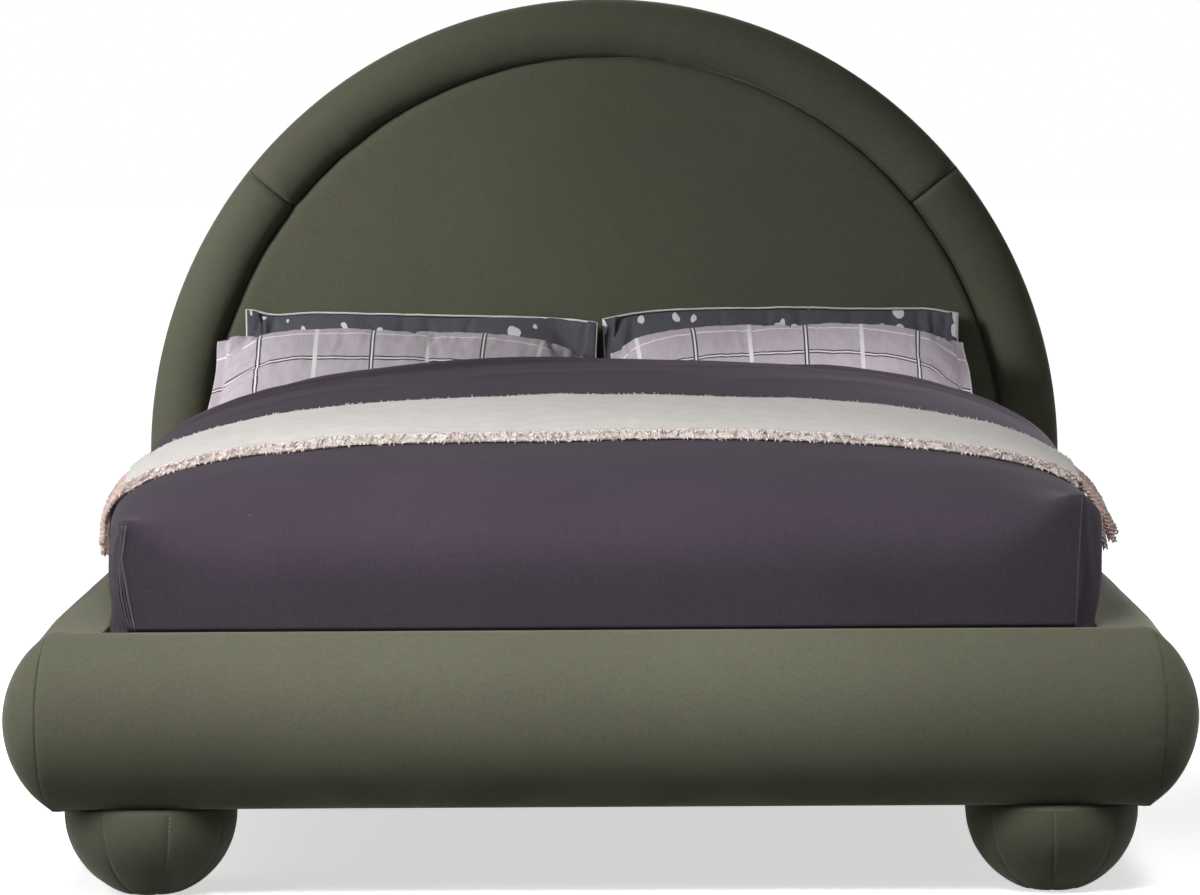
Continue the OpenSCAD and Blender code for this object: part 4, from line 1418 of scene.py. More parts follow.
@dataclass
class Mattress:
    """The mattress: a quilted top, tape edges and plain borders."""

    half_x: float = 0.762
    y0: float = -1.0095
    y1: float = 1.0225
    low: float = 0.318
    high: float = 0.568
    corner: float = 0.075
    tape: float = 0.003
    tape_size: float = 0.0032
    tape_gap: float = 0.009
    tape_steps: int = 360
    quilt_pitch: float = 0.085
    quilt_height: float = 0.006
    top_inset: float = 0.006
    top_grid: tuple[int, int] = (170, 220)
    rings: int = 400
    border_rows: int = 16

    def rim(self, share: float, inset: float) -> Vector:
        """Returns a point of the mattress's outline in plan, inset from its edge.

        Args:
            share: How far round it lies, from 0 to 1.
            inset: How far inside the outline it lies.

        Returns:
            The point, as X and Y.
        """
        r = self.corner - inset
        wide = 2 * (self.half_x - self.corner)
        long = self.y1 - self.y0 - 2 * self.corner
        quarter = math.pi / 2 * self.corner
        left = (share % 1.0) * (2 * wide + 2 * long + 4 * quarter)
        spots = (
            (self.half_x - self.corner, self.y0 + self.corner, -math.pi / 2, long),
            (self.half_x - self.corner, self.y1 - self.corner, 0.0, wide),
            (self.corner - self.half_x, self.y1 - self.corner, math.pi / 2, long),
            (self.corner - self.half_x, self.y0 + self.corner, math.pi, wide),
        )
        for x, y, start, straight in spots:
            if left <= quarter:
                angle = start + left / self.corner
                return Vector((x + r * math.cos(angle), y + r * math.sin(angle)))
            left -= quarter
            if left <= straight:
                angle = start + math.pi / 2
                side = Vector((math.cos(angle), math.sin(angle)))
                ahead = Vector((-side.y, side.x))
                return Vector((x, y)) + side * r + ahead * left
            left -= straight
        return self.rim(0.0, inset)

    def quilt(self, x: float, y: float) -> float:
        """Returns the height of the quilting, in diamonds, from 0 on its stitches."""
        a = abs(math.sin(math.pi * (x + y) / self.quilt_pitch))
        b = abs(math.sin(math.pi * (x - y) / self.quilt_pitch))
        return self.quilt_height * (min(a, b) ** 0.55)

    def top_place(self, place: Vector) -> Vector:
        """Lays a grid over the top, kept inside the rounded corners.

        Args:
            place: A point of the flat grid, from 0 to 1 both ways.

        Returns:
            Where that point goes.
        """
        x = mix(-self.half_x, self.half_x, place.x)
        y = mix(self.y0, self.y1, place.y)
        edge = min(self.half_x - abs(x), y - self.y0, self.y1 - y)
        cx, cy = self.half_x - self.corner, (self.y1 - self.y0) / 2 - self.corner
        middle = (self.y0 + self.y1) / 2
        over_x, over_y = abs(x) - cx, abs(y - middle) - cy
        if over_x > 0 and over_y > 0:
            big = max(over_x, over_y)
            far = math.hypot(over_x, over_y)
            over_x, over_y = over_x * big / far, over_y * big / far
            x, y = math.copysign(cx + over_x, x), middle + math.copysign(cy + over_y, y - middle)
            edge = self.corner - math.hypot(over_x, over_y)
        x *= 1 - self.top_inset / self.half_x
        y = middle + (y - middle) * (1 - self.top_inset / (self.y1 - middle))
        crown = ease(edge / 0.05)
        return Vector((x, y, self.high - self.tape_gap + crown * (0.0035 + self.quilt(x, y))))

    def build(self, wardrobe: Wardrobe) -> None:
        """Builds the body, the quilted top and the two taped edges.

        Args:
            wardrobe: The bed's finishes.
        """
        bm = bmesh.new()
        bmesh.ops.create_circle(bm, segments=self.rings, radius=1.0)
        ring, border = list(bm.verts), list(bm.edges)
        rows = [(0.0, 0.012), (0.002, 0.006), (0.012, 0.004), (0.018, 0.005)]
        for k in range(self.border_rows + 1):
            share = k / self.border_rows
            rows.append((mix(0.024, 0.226, share), 0.004 - 0.0035 * math.sin(math.pi * share)))
        rows += [(0.232, 0.005), (0.238, 0.004), (0.242, 0.008)]
        for n, (up, inset) in enumerate(rows):
            if n:
                ring, border = grow_ring(bm, ring, border)
            for i, vert in enumerate(ring):
                flat = self.rim(i / self.rings, inset + 0.0006 * rough(i * 0.3, up * 20.0, 0.0))
                vert.co = Vector((flat.x, flat.y, self.low + up))
        close_holes(bm)
        top = make_grid(*self.top_grid)
        move_all(top, self.top_place)
        take_in(bm, top)
        body = make_piece(bm, Label("mattress_body", "mattress", "ticking", ("mattress",)), wardrobe.ticking)
        bm = bmesh.new()
        for height in (self.low + self.tape_gap, self.high - self.tape_gap):
            spots = [self.rim(i / self.tape_steps, self.tape) for i in range(self.tape_steps + 1)]
            add_tube(bm, [Vector((spot.x, spot.y, height)) for spot in spots], self.tape_size, 8)
        make_piece(bm, Label("mattress_tape", "mattress", "ticking"), wardrobe.piping)


def tapered(radius: float, count: int, end: float) -> list[float]:
    """Returns a cord's radii: full in the middle, and less towards its ends by the share named end."""
    shares = [0.1 + 0.86 * n / (count - 1) for n in range(count)]
    return [radius * (end + (1 - end) * math.sin(math.pi * share) ** 0.5) for share in shares]


@dataclass(frozen=True)
class Fold:
    """A raised fold that runs through points on the duvet, in plan."""

    points: Table
    height: float
    width: float
    lean: float = 0.0

    def lift(self, x: float, y: float) -> float:
        """Returns how high the fold raises the cloth at a place in plan."""
        total = 0.0
        best = 1e9
        share = 0.0
        spans = len(self.points) - 1
        for i, ((x0, y0), (x1, y1)) in enumerate(zip(self.points, self.points[1:])):
            dx, dy = x1 - x0, y1 - y0
            t = clamp(((x - x0) * dx + (y - y0) * dy) / (dx * dx + dy * dy))
            gap = math.hypot(x - x0 - dx * t, y - y0 - dy * t)
            if gap < best:
                best, share = gap, (i + t) / spans
                total = math.copysign(1.0, (x - x0) * dy - (y - y0) * dx)
        wide = self.width * (1 + self.lean * total)
        return self.height * bump(best, wide) * ease(4 * share) * ease(4 * (1 - share))


@dataclass
class Duvet:
    """The duvet: full at its crest, tucked between the mattress and the rails, with a boxed foot end."""

    mattress_top: float = 0.568
    mattress_half: float = 0.762
    y0: float = -1.0445
    length: float = 1.523
    side_z: float = 0.530
    rail_top: float = 0.4135
    hem_z: float = 0.345
    tuck_x: float = 0.774
    tuck_y: float = -1.0215
    foot_rise: float = 0.066
    foot_dip: float = 0.010
    crest_rise: float = 0.201
    side_out: float = 0.078
    turn: float = 0.36
    turn_power: float = 2.5
    ears: tuple[tuple[float, float, float], ...] = ((-0.749, 0.052, 0.055), (0.749, 0.087, 0.085))
    flap_u: float = -0.98132
    flap: Table = (
        (0.418, -0.7232),
        (0.464, -0.7327),
        (0.498, -0.7375),
        (0.527, -0.743),
        (0.557, -0.7375),
        (0.584, -0.7345),
    )
    lean: float = 0.0104
    left_edge: Table = ((0.414, 0.015), (0.435, 0.006), (0.470, -0.002), (0.530, -0.002), (0.584, 0.003))
    crowd: float = 1.3
    grid_share: float = 0.92
    fan: float = 0.34
    crest_at: float = 0.93
    inner_x: float = 0.766
    inner_y: float = -1.0135
    inner_z: float = 0.571
    inner_share: float = 0.90
    inner_corner: float = 0.079
    head_bulge: float = 0.030
    across: int = 128
    along: int = 126
    turn_rows: int = 18
    hang_rows: int = 26
    cap_cuts: int = 7
    layer: float = 1000.0
    layer_slack: float = 40.0
    pleat_points: int = 33
    pleat_top: float = 0.580
    pleat_end: float = 0.4140
    folds: list[Fold] = field(default_factory=list)

    def __post_init__(self) -> None:
        """Lays out the folds."""
        self.folds = self.crest_folds()

    @property
    def crest(self) -> float:
        """Returns where along Y the duvet's crest lies."""
        return self.y0 + self.length * self.crest_at

    def from_crest(self, points: Table) -> Table:
        """Returns places in plan whose Y was measured from the crest."""
        return tuple((x, self.crest + y) for x, y in points)

    def k(self, y: float) -> float:
        """Returns how far along the duvet y lies, from 0 at the foot to 1 at its head end."""
        return (y - self.y0) / self.length

    def rise(self, k: float) -> float:
        """Returns how high the middle of the duvet stands over the mattress."""
        foot = ((0.0, 0.0), (0.2528, 0.37), (0.5286, 0.67))
        table = (*foot, (0.78, 0.885), (0.942, 1.0), (0.975, 0.88), (1.0, 0.64))
        spread = 0.035 if k < 0.86 else 0.012
        return mix(self.foot_rise, self.crest_rise, soft_lookup(k, table, spread))

    def half(self, k: float, side: float = 1.0) -> float:
        """Returns how far the duvet reaches to one side, which is less on the left near the foot."""
        near = ((0.065, 0.36), (0.2528, 0.53)) if side > 0 else ((0.065, 0.09), (0.2528, 0.45))
        table = ((0.0, -0.204), *near, (0.5286, 0.77), (0.942, 1.0), (1.0, 0.97))
        return self.mattress_half + self.side_out * soft_lookup(k, table, 0.012)

    def falloff(self, u: float, power: float) -> float:
        """Returns the height of a rounded section, 1 in its middle and 0 at its edge."""
        return (1 - clamp(abs(u)) ** power) ** (1 / power)

    def base(self, x: float, y: float) -> float:
        """Returns the height where the top turns down: lower along the foot, with an ear at each corner."""
        front = y - self.y0
        z = self.side_z - self.foot_dip * bump(front, 0.10) * (1 - ease((abs(x) - 0.50) / 0.22))
        return z + sum(lift * bump(math.hypot(x - corner, front), wide) for corner, lift, wide in self.ears)

    def soft(self, x: float, y: float, z: float) -> float:
        """Returns how far the filling makes the cloth swell or sink."""
        return 0.0035 * rough(x * 3.2, y * 3.2, 2.0) + 0.0014 * noise.noise(Vector((x, y, z)) * 9.0)

    def skin(self, x: float, y: float) -> float:
        """Returns the height of the top surface with its swell, and without its folds."""
        z = self.height(x, y)
        return z + self.soft(x, y, z)

    def height(self, x: float, y: float) -> float:
        """Returns the height of the duvet's top surface."""
        k = self.k(y)
        power = soft_lookup(k, ((0.0, 5.0), (0.2528, 2.9), (0.5286, 2.6), (0.942, 2.5)), 0.03)
        start = self.y0 + self.turn
        foot = self.falloff((start - y) / self.turn, self.turn_power) if y < start else 1.0
        box = ease(1 - k / 0.10)
        power = mix(power, 8.0 if x > 0 else 4.5, box)
        low = self.base(x, y)
        full = self.rise(k) + self.mattress_top - low
        return low + full * self.falloff(x / self.half(k, x), power) * foot

    def grid_y(self, share: float) -> float:
        """Returns where a line across the top lies, with the lines closer towards the foot and the head."""
        warped = share - 0.35 * math.sin(2 * math.pi * share) / (2 * math.pi)
        return mix(self.y0 + self.length, self.y0 + self.turn, warped)

    def edge_y(self, y: float) -> float:
        """Returns where that line meets the duvet's widest edge: near the foot they fan out to its corner."""
        start = self.y0 + self.turn
        if y >= start + self.fan:
            return y
        return mix(self.y0, start + self.fan, ((y - start) / self.fan) ** 1.6)

    def hang_z(self, row: float, top: float) -> float:
        """Returns the height of a hanging row: the rows lie closer where the cloth meets the rail."""
        down = (row - self.turn_rows) / self.hang_rows
        return lookup(down, ((0.0, top), (0.45, 0.430), (0.8, 0.4105), (1.0, self.hem_z)))

    def tuck(self, drop: float, foot: bool) -> float:
        """Returns how far in to its tuck the cloth lies, drop being 1 at its widest and 0 at the rail."""
        if foot:
            return soft_lookup(drop, ((0.0, 0.30), (0.012, 0.12), (0.03, 0.03), (0.05, 0.0)), 0.004)
        table = ((0.0, 1.0), (0.05, 1.0), (0.11, 0.8), (0.28, 0.35), (0.6, 0.05), (1.0, 0.0))
        return soft_lookup(drop, table, 0.035)

    def outer(self, u: float, share: float, row: float) -> Vector:
        """Returns a point of the duvet's outer face.

        Args:
            u: The place across it, from -1 to 1.
            share: The place along it, from 0 at the head end to 1 at the foot.
            row: 0 on the top, then the number of the row outside its border.

        Returns:
            The point.
        """
        y = self.grid_y(share)
        x = u * self.grid_share * self.half(self.k(y), u)
        if row <= 0:
            return Vector((x, y, self.height(x, y)))
        foot = share >= NEARLY_ONE
        side = abs(u) >= NEARLY_ONE
        edge = self.y0 if foot else self.edge_y(y)
        wide = self.half(self.k(edge), u) * (math.copysign(1.0, u) if side else u)
        if row <= self.turn_rows:
            k = 1 - (1 - row / self.turn_rows) ** 1.7
            px, py = mix(x, wide, k), mix(y, edge, k)
            return Vector((px, py, self.height(px, py)))
        top = self.base(wide, edge)
        z = self.hang_z(row, top)
        fall = (z - self.rail_top) / (self.side_z - self.rail_top)
        behind = ease((edge - self.y0) / 0.10)
        inward = mix(self.tuck(max(fall, 0.0), True), self.tuck(max(fall, 0.0), False), behind)
        if fall <= -0.03:
            inward = 1.0
        tuck_x = math.copysign(min(abs(wide), self.tuck_x), u) if side else u * self.tuck_x
        low = clamp((top - z) / (top - self.rail_top))
        if u > 0.5:
            wide -= self.lean * low * abs(u) ** 8 * bump(edge - self.y0, 0.05)
        elif foot and not side:
            wide += self.left_edge_shift(z, edge) * clamp(-20 * u - 19)
            seam = self.flap_u * self.half(0.0)
            wide += (lookup(z, self.flap) - seam) * bump(wide - seam, 0.012)
        elif side:
            wide += self.left_edge_shift(z, edge)
        return Vector((mix(wide, tuck_x, inward), mix(edge, max(edge, self.tuck_y), inward), z))

    def left_edge_shift(self, z: float, y: float) -> float:
        """Returns how far the left-hand edge is drawn to the right near the foot."""
        return lookup(z, self.left_edge) * bump(y - self.y0, 0.40)

    def inner(self, u: float, share: float, row: float) -> Vector:
        """Returns the point of the duvet's inner face under the outer one.

        Args:
            u: The place across it, from -1 to 1.
            share: The place along it, from 0 at the head end to 1 at the foot.
            row: 0 on the top, then the number of the row outside its border.

        Returns:
            The point.
        """
        y = self.grid_y(share)
        if row <= 0:
            return Vector((u * self.inner_share * self.inner_x, y, self.inner_z))
        foot = share >= NEARLY_ONE
        side = abs(u) >= NEARLY_ONE
        x = math.copysign(self.inner_x, u) if side else u * self.inner_x
        edge = self.inner_y if foot else max(self.edge_y(y), self.inner_y)
        bend = self.inner_corner
        corner_x, corner_y = abs(x) - (self.inner_x - bend), self.inner_y + bend - edge
        if corner_x > 0 and corner_y > 0:
            far = math.hypot(corner_x, corner_y)
            if far > bend:
                x = math.copysign(self.inner_x - bend + corner_x / far * bend, x)
                edge = self.inner_y + bend - corner_y / far * bend
        if row <= self.turn_rows:
            k = row / self.turn_rows
            return Vector((mix(u * self.inner_share * self.inner_x, x, k), mix(y, edge, k), self.inner_z))
        return Vector((x, edge, min(self.hang_z(row, self.side_z), self.inner_z)))

    def crest_folds(self) -> list[Fold]:
        """Returns the folds that lie over the duvet's top."""
        table = (
            (((-0.80, -0.13), (-0.55, -0.10), (-0.30, -0.07), (0.10, 0.0)), 0.009, 0.013, 0.4),
            (((-0.79, -0.19), (-0.62, -0.16), (-0.40, -0.13)), 0.006, 0.012, 0.0),
            (((0.30, -0.02), (0.55, -0.05), (0.80, -0.12)), 0.008, 0.012, -0.3),
            (((0.40, -0.08), (0.62, -0.12), (0.80, -0.19)), 0.006, 0.013, 0.0),
            (((0.05, -0.11), (0.34, -0.09), (0.55, -0.11)), 0.003, 0.020, 0.0),
            (((-0.30, -0.26), (-0.05, -0.20), (0.22, -0.19)), 0.004, 0.040, 0.0),
            (((0.20, -0.33), (0.40, -0.25), (0.62, -0.23)), 0.004, 0.036, 0.0),
            (((-0.70, -0.36), (-0.50, -0.29), (-0.30, -0.31)), 0.0035, 0.036, 0.0),
        )
        return [Fold(self.from_crest(points), *sizes) for points, *sizes in table]

    def creases(self, u: float, share: float, row: float, place: Vector) -> float:
        """Returns how far the hanging cloth stands off its even form, along its outward direction.

        Args:
            u: The place across the duvet, from -1 to 1.
            share: The place along it, from 0 at the head end to 1 at the foot.
            row: The number of the hanging row.
            place: The point of the even form.

        Returns:
            The distance.
        """
        soft = self.soft(place.x, place.y, place.z)
        down = (row - self.turn_rows) / self.hang_rows
        hang = ease(down / 0.12) * ease((0.88 - down) / 0.18)
        if share >= NEARLY_ONE and abs(u) < NEARLY_ONE:
            gap = lookup(place.z, self.flap) - place.x
            inside = clamp(gap / 0.002)
            groove = -0.0052 * inside * math.exp(-max(gap, 0.0) / 0.008) + 0.0018 * bump(gap, 0.004)
            right = -0.0020 * bump(place.x - self.half(0.0) + self.lean * 0.5 + 0.006, 0.004)
            return soft * 0.5 + (groove + right) * hang
        back = place.y - self.y0
        fan = mix(0.35, 1.0, ease((0.575 - place.z) / 0.11))
        if u < 0:
            close = ((0.009, 0.0050, 0.0040), (0.024, 0.0060, 0.0058))
            ridges = (*close, (0.044, 0.0050, 0.0080), (0.075, 0.0035, 0.012))
        else:
            ridges = ((0.004, -0.0025, 0.0035), (0.034, 0.0020, 0.012), (0.068, 0.0030, 0.015))
            back += 0.30 * (0.56 - place.z)
        ridge = sum(high * bump(back - at * fan, wide) for at, high, wide in ridges)
        ripple = 0.003 * rough(place.y * 14.0, down * 2.0, u)
        return soft + (ridge + ripple) * hang

    def build(self, wardrobe: Wardrobe) -> None:
        """Builds the duvet as one closed piece, with an outer and an inner face.

        Args:
            wardrobe: The bed's finishes.
        """
        bm = make_grid(self.across, self.along)
        bm.verts.layers.float.new("fleck")
        bmesh.ops.scale(bm, verts=bm.verts, vec=(2.0, 1.0, 1.0))
        bmesh.ops.translate(bm, verts=bm.verts, vec=(-1.0, 0.0, 0.0))
        border = [e for e in bm.edges if e.is_boundary and not all(v.co.y < 1e-6 for v in e.verts)]
        for _ in range(self.turn_rows + self.hang_rows):
            _, border = grow_border(bm, border, (0.0, 0.0, -1.0))
        double_up(bm, self.layer)
        walls = [e for e in bm.edges if abs(e.verts[0].co.z - e.verts[1].co.z) > self.layer / 2]
        head = [e for e in walls if all(v.co.y < 1e-6 for v in e.verts)]
        bmesh.ops.subdivide_edges(bm, edges=head, cuts=self.cap_cuts)
        low = self.turn_rows + 15.5
        front = [(v, abs(v.co.x)) for v in bm.verts if v.co.y > NEARLY_ONE and 4.5 < -v.co.z < low]
        move_all(bm, self.place)
        for reach, rounds in ((0.93, 4), (0.87, 5), (0.80, 6), (0.72, 7)):
            inside = [v for v, aside in front if aside < reach]
            for _ in range(rounds):
                bmesh.ops.smooth_vert(bm, verts=inside, factor=0.5, use_axis_y=True, use_axis_z=True)
        self.add_pleats(bm)
        piece = make_piece(bm, Label("duvet_cover", "duvet", "duvet_cotton", ("duvet",)), wardrobe.duvet)

    def add_pleats(self, bm: Mesh) -> None:
        """Adds the crisp edges: down the two front corners, and along the crest, each cord with a painted
        highlight.

        Args:
            bm: The duvet's mesh, in place.
        """
        pleats = Strands()
        self.left_pleats(pleats)
        self.right_pleat(pleats)
        self.crest_pleats(pleats)
        take_in(bm, pleats.finish())

    def left_pleats(self, pleats: Strands) -> None:
        """Adds the edges of the four layers that show at the left-hand front corner."""
        # The third value of each row is how strongly the cord is lightened, a painted highlight.
        outside = ((1.0, 0.0016, 1.0), (0.70, 0.0015, 0.35))
        for inward, radius, shade in (*outside, (0.42, 0.0017, 0.55), (0.16, 0.0016, 0.3)):
            edges = []
            for n in range(self.pleat_points):
                z = mix(self.pleat_top, self.pleat_end, n / (self.pleat_points - 1))
                x = mix(-self.half(0.0) + self.left_edge_shift(z, self.y0), lookup(z, self.flap), inward)
                edges.append(Vector((x, self.front_at(z) - 0.0014, z)))
            pleats.cord(edges, tapered(radius, self.pleat_points, 0.3), 8, shade)

    def right_pleat(self, pleats: Strands) -> None:
        """Adds the edge of the fold at the right-hand front corner."""
        edges = []
        for n in range(self.pleat_points):
            z = mix(0.615, self.pleat_end, n / (self.pleat_points - 1))
            x = self.half(0.0) - self.lean * clamp((0.617 - z) / 0.199) + 0.0006
            edges.append(Vector((x, self.front_at(z) - 0.0006, z)))
        # 0.35 is how strongly the cord is lightened, a painted highlight.
        pleats.cord(edges, tapered(0.0015, self.pleat_points, 0.4), 8, 0.35)

    def crest_pleats(self, pleats: Strands) -> None:
        """Adds the narrow ridges that run in from both sides along the crest."""
        table = (
            (0.0050, ((-0.80, -0.125), (-0.62, -0.10), (-0.40, -0.085), (-0.18, -0.05), (0.05, -0.005))),
            (0.0032, ((-0.80, -0.085), (-0.66, -0.05), (-0.48, -0.03), (-0.30, -0.015))),
            (0.0026, ((-0.79, -0.165), (-0.66, -0.145), (-0.50, -0.135))),
            (0.0034, ((0.36, -0.02), (0.52, -0.04), (0.68, -0.075), (0.80, -0.13))),
            (0.0024, ((0.50, -0.01), (0.62, -0.03), (0.74, -0.07))),
        )
        for radius, points in table:
            path = []
            for at in smooth_path([(x, y, 0.0) for x, y in self.from_crest(points)], 9):
                k = self.k(at.y)
                x = clamp(at.x, -0.985 * self.half(k, -1.0), 0.985 * self.half(k))
                lift = sum(f.lift(x, at.y) for f in self.folds)
                path.append(Vector((x, at.y, self.skin(x, at.y) + lift - radius * 0.30)))
            last = len(path) - 1
            sizes = [radius * (0.2 + 0.8 * math.sin(math.pi * n / last) ** 0.7) for n in range(last + 1)]
            # 0.3 is how strongly each ridge is lightened, a painted highlight.
            pleats.cord(path, sizes, 10, 0.3)

    def front_at(self, z: float) -> float:
        """Returns where along Y the duvet's front face lies at a height under its turn."""
        fall = clamp((z - self.rail_top) / (self.side_z - self.rail_top))
        return mix(self.y0, self.tuck_y, self.tuck(fall, True))

    def place(self, at: Vector) -> Vector:
        """Lays a vertex of the flat pattern on the bed.

        Args:
            at: The vertex: X across, Y along, and Z by its row and its layer.

        Returns:
            Its place on the bed.
        """
        depth = round((at.z + self.layer_slack) / self.layer * (self.cap_cuts + 1)) / (self.cap_cuts + 1)
        row = self.layer * depth - at.z
        u, share = math.copysign(1 - (1 - abs(at.x)) ** self.crowd, at.x), at.y
        outer = self.outer(u, share, row)
        if depth < 1:
            if row <= self.turn_rows:
                outer.z += self.soft(*outer) + sum(f.lift(outer.x, outer.y) for f in self.folds)
            elif abs(u) < NEARLY_ONE:
                outer.y -= self.creases(u, share, row, outer)
            else:
                outer.x += math.copysign(self.creases(u, share, row, outer), u)
        if depth < 1e-6:
            return outer
        inner = self.inner(u, share, row)
        if depth >= NEARLY_ONE:
            return inner
        point = outer.lerp(inner, depth)
        near_top = clamp((self.turn_rows + 8 - row) / 10)
        point.y += self.head_bulge * math.sin(math.pi * depth) ** 0.8 * near_top
        return point


@dataclass(frozen=True)
class Tufts:
    """The yarn ends and loops along one long edge of the throw, and the ranges they are drawn from."""

    edge: float
    count: int
    lean: float
    spread: float
    long: tuple[float, float]
    down: tuple[float, float]
    shade: float
    thick: float


@dataclass
class Throw:
    """The fringed throw that lies across the duvet."""

    duvet: Duvet
    start: float = 0.2528
    end: float = 0.5286
    reach: float = 0.962
    gap: float = 0.0015
    thick: float = 0.0125
    front_thick: float = 0.0175
    columns: int = 230
    rows: int = 44
    fleck: float = 0.75
    fleck_reach: float = 0.050
    slack: float = 1.01
    tufts: tuple[Tufts, ...] = (
        Tufts(0.0, 2100, -1.0, 0.085, (0.005, 0.010), (-0.25, -0.75), 1.0, 0.0015),
        Tufts(1.0, 1000, 1.0, 0.02, (0.002, 0.006), (0.0, 0.9), 0.25, 0.0011),
    )
    tassels: int = 16
    strands: int = 3
    strand_gap: float = 0.0074
    cord_steps: int = 18
    cord: float = 0.0027
    cord_twist: float = 0.014
    plies_apart: float = 0.0025
    off: dict[str, tuple[float, float]] = field(
        default_factory=lambda: {"left": (0.0, 0.010), "right": (0.002, 0.018)}
    )

    @property
    def wide(self) -> float:
        """Returns how far the throw reaches along the bed."""
        return (self.end - self.start) * self.duvet.length

    def on_duvet(self, u: float, k: float) -> Vector:
        """Returns the point of the duvet's top at u across and k along."""
        x = u * self.duvet.half(k, u)
        y = self.duvet.y0 + self.duvet.length * k
        return Vector((x, y, self.duvet.skin(x, y)))

    def over(self, u: float, k: float, up: float) -> Vector:
        """Returns a point that lies up above the duvet, square to it."""
        left, right = self.on_duvet(clamp(u - 0.004, -1, 1), k), self.on_duvet(clamp(u + 0.004, -1, 1), k)
        near, far = self.on_duvet(u, k - 0.01), self.on_duvet(u, k + 0.01)
        normal = (right - left).cross(far - near).normalized()
        return self.on_duvet(u, k) + normal * up

    def across(self, share: float) -> float:
        """Returns u for a share of the throw's length, with the lines closer where the duvet turns down."""
        return self.reach * math.sin(math.pi / 2 * (2 * share - 1) * 0.92) / math.sin(math.pi / 2 * 0.92)

    def edge_wander(self, x: float, side: float) -> float:
        """Returns how far the throw's long edge wanders, as a share of the duvet's length."""
        return 0.0035 * rough(x * 3.0, side * 5.0, 0.0) + 0.0012 * rough(x * 21.0, side, 3.0)

    def place(self, at: Vector) -> Vector:
        """Lays a vertex of the flat pattern: X across the bed, Y along it, Z 0 below and 1 above."""
        u = self.across(at.x)
        k = mix(self.start + self.edge_wander(u, -1.0), self.end + self.edge_wander(u, 1.0), at.y)
        edge = min(at.y, 1 - at.y) * (self.end - self.start) * self.duvet.length
        front = at.y * (self.end - self.start) * self.duvet.length
        rounded = math.sqrt(clamp(1 - (1 - clamp(edge / 0.014)) ** 2))
        nub = 0.0007 * rough(at.x * 260.0, at.y * 60.0, 1.0)
        nub += 0.0016 * rough(at.x * 22.0, at.y * 6.0, 5.0)
        full = mix(self.front_thick, self.thick, ease(front / 0.030))
        up = self.gap + full * mix(0.22, 1.0, rounded) + nub if at.z > 0.5 else self.gap
        return self.over(u, k, up)

    def build(self, wardrobe: Wardrobe) -> None:
        """Builds the cloth, the tufts along its edges and its fringes.

        Args:
            wardrobe: The bed's finishes.
        """
        bm = make_grid(self.columns, self.rows)
        double_up(bm, 1.0)
        layer = bm.verts.layers.float.new("fleck")
        for vert in bm.verts:
            edge = vert.co.y * (self.end - self.start) * self.duvet.length
            vert[layer] = self.fleck * (1 - ease(edge / self.fleck_reach))
        move_all(bm, self.place)
        cloth = make_piece(bm, Label("throw_cloth", "throw", "throw_wool", ("throw",)), wardrobe.throw)
        tufts = self.build_tufts(wardrobe)
        pieces = [self.build_fringe(side, sign, wardrobe) for side, sign in SIDES]
        self.measure_width()

    def measure_width(self) -> float:
        """Returns the throw's cut width: the length of its middle line over the duvet."""
        k = (self.start + self.end) / 2
        points = [self.over(self.across(n / 120), k, self.gap + self.thick) for n in range(121)]
        return sum((b - a).length for a, b in zip(points, points[1:]))

    def build_tufts(self, wardrobe: Wardrobe) -> bpy.types.Object:
        """Builds the short yarn ends and loops along the throw's front and rear edges.

        Args:
            wardrobe: The bed's finishes.

        Returns:
            The tufts.
        """
        rng = random.Random(11)
        yarns = Strands()
        for row in self.tufts:
            for n in range(row.count):
                share = (n + rng.random()) / row.count
                inward = rng.uniform(-0.2 * row.spread, row.spread) * row.lean
                start = self.place(Vector((share, clamp(row.edge - inward), 1.0)))
                long = rng.uniform(*row.long)
                side = rng.uniform(-0.5, 0.5)
                down = rng.uniform(*row.down)
                way = Vector((side, row.lean * rng.uniform(0.5, 1.0), down)).normalized()
                curl = Vector((rng.uniform(-0.4, 0.4), 0.0, rng.uniform(-0.5, 0.3)))
                points = [start - way * 0.002 + Vector((0.0, 0.0, -0.0015)), start + way * long * 0.5]
                points.append(start + way * long + curl * long * 0.4)
                sizes = [row.thick, row.thick * 0.95, row.thick * 0.5]
                yarns.cord(points, sizes, 4, rng.uniform(0.0, row.shade))
        return make_piece(yarns.finish(), Label("throw_tufts", "throw", "throw_wool"), wardrobe.tuft)

    def build_fringe(self, side: str, sign: float, wardrobe: Wardrobe) -> bpy.types.Object:
        """Builds one end's tassels: twisted cords that hang in bundles.

        Args:
            side: The end's name.
            sign: -1 on the left-hand side and 1 on the right.
            wardrobe: The bed's finishes.

        Returns:
            The fringe.
        """
        rng = random.Random(5 if sign < 0 else 8)
        cords = Strands()
        for n in range(self.tassels):
            share = (n + 0.5 + rng.uniform(-0.15, 0.15)) / self.tassels
            k = mix(self.start, self.end, share)
            long = rng.uniform(0.096, 0.126)
            spread = rng.uniform(0.8, 1.9)
            lean = rng.uniform(-0.22, 0.10)
            for strand in range(self.strands):
                offset = (strand - 1) * self.strand_gap * spread
                off = rng.uniform(*self.off[side])
                path = self.hang(sign, k, long * rng.uniform(0.86, 1.05), offset, lean, off)
                self.add_cord(cords, path, rng)
        label = Label(f"fringe_{side}", "throw", "fringe_wool", (f"throw_fringe_{side}",))
        return make_piece(cords.finish(), label, wardrobe.fringe)

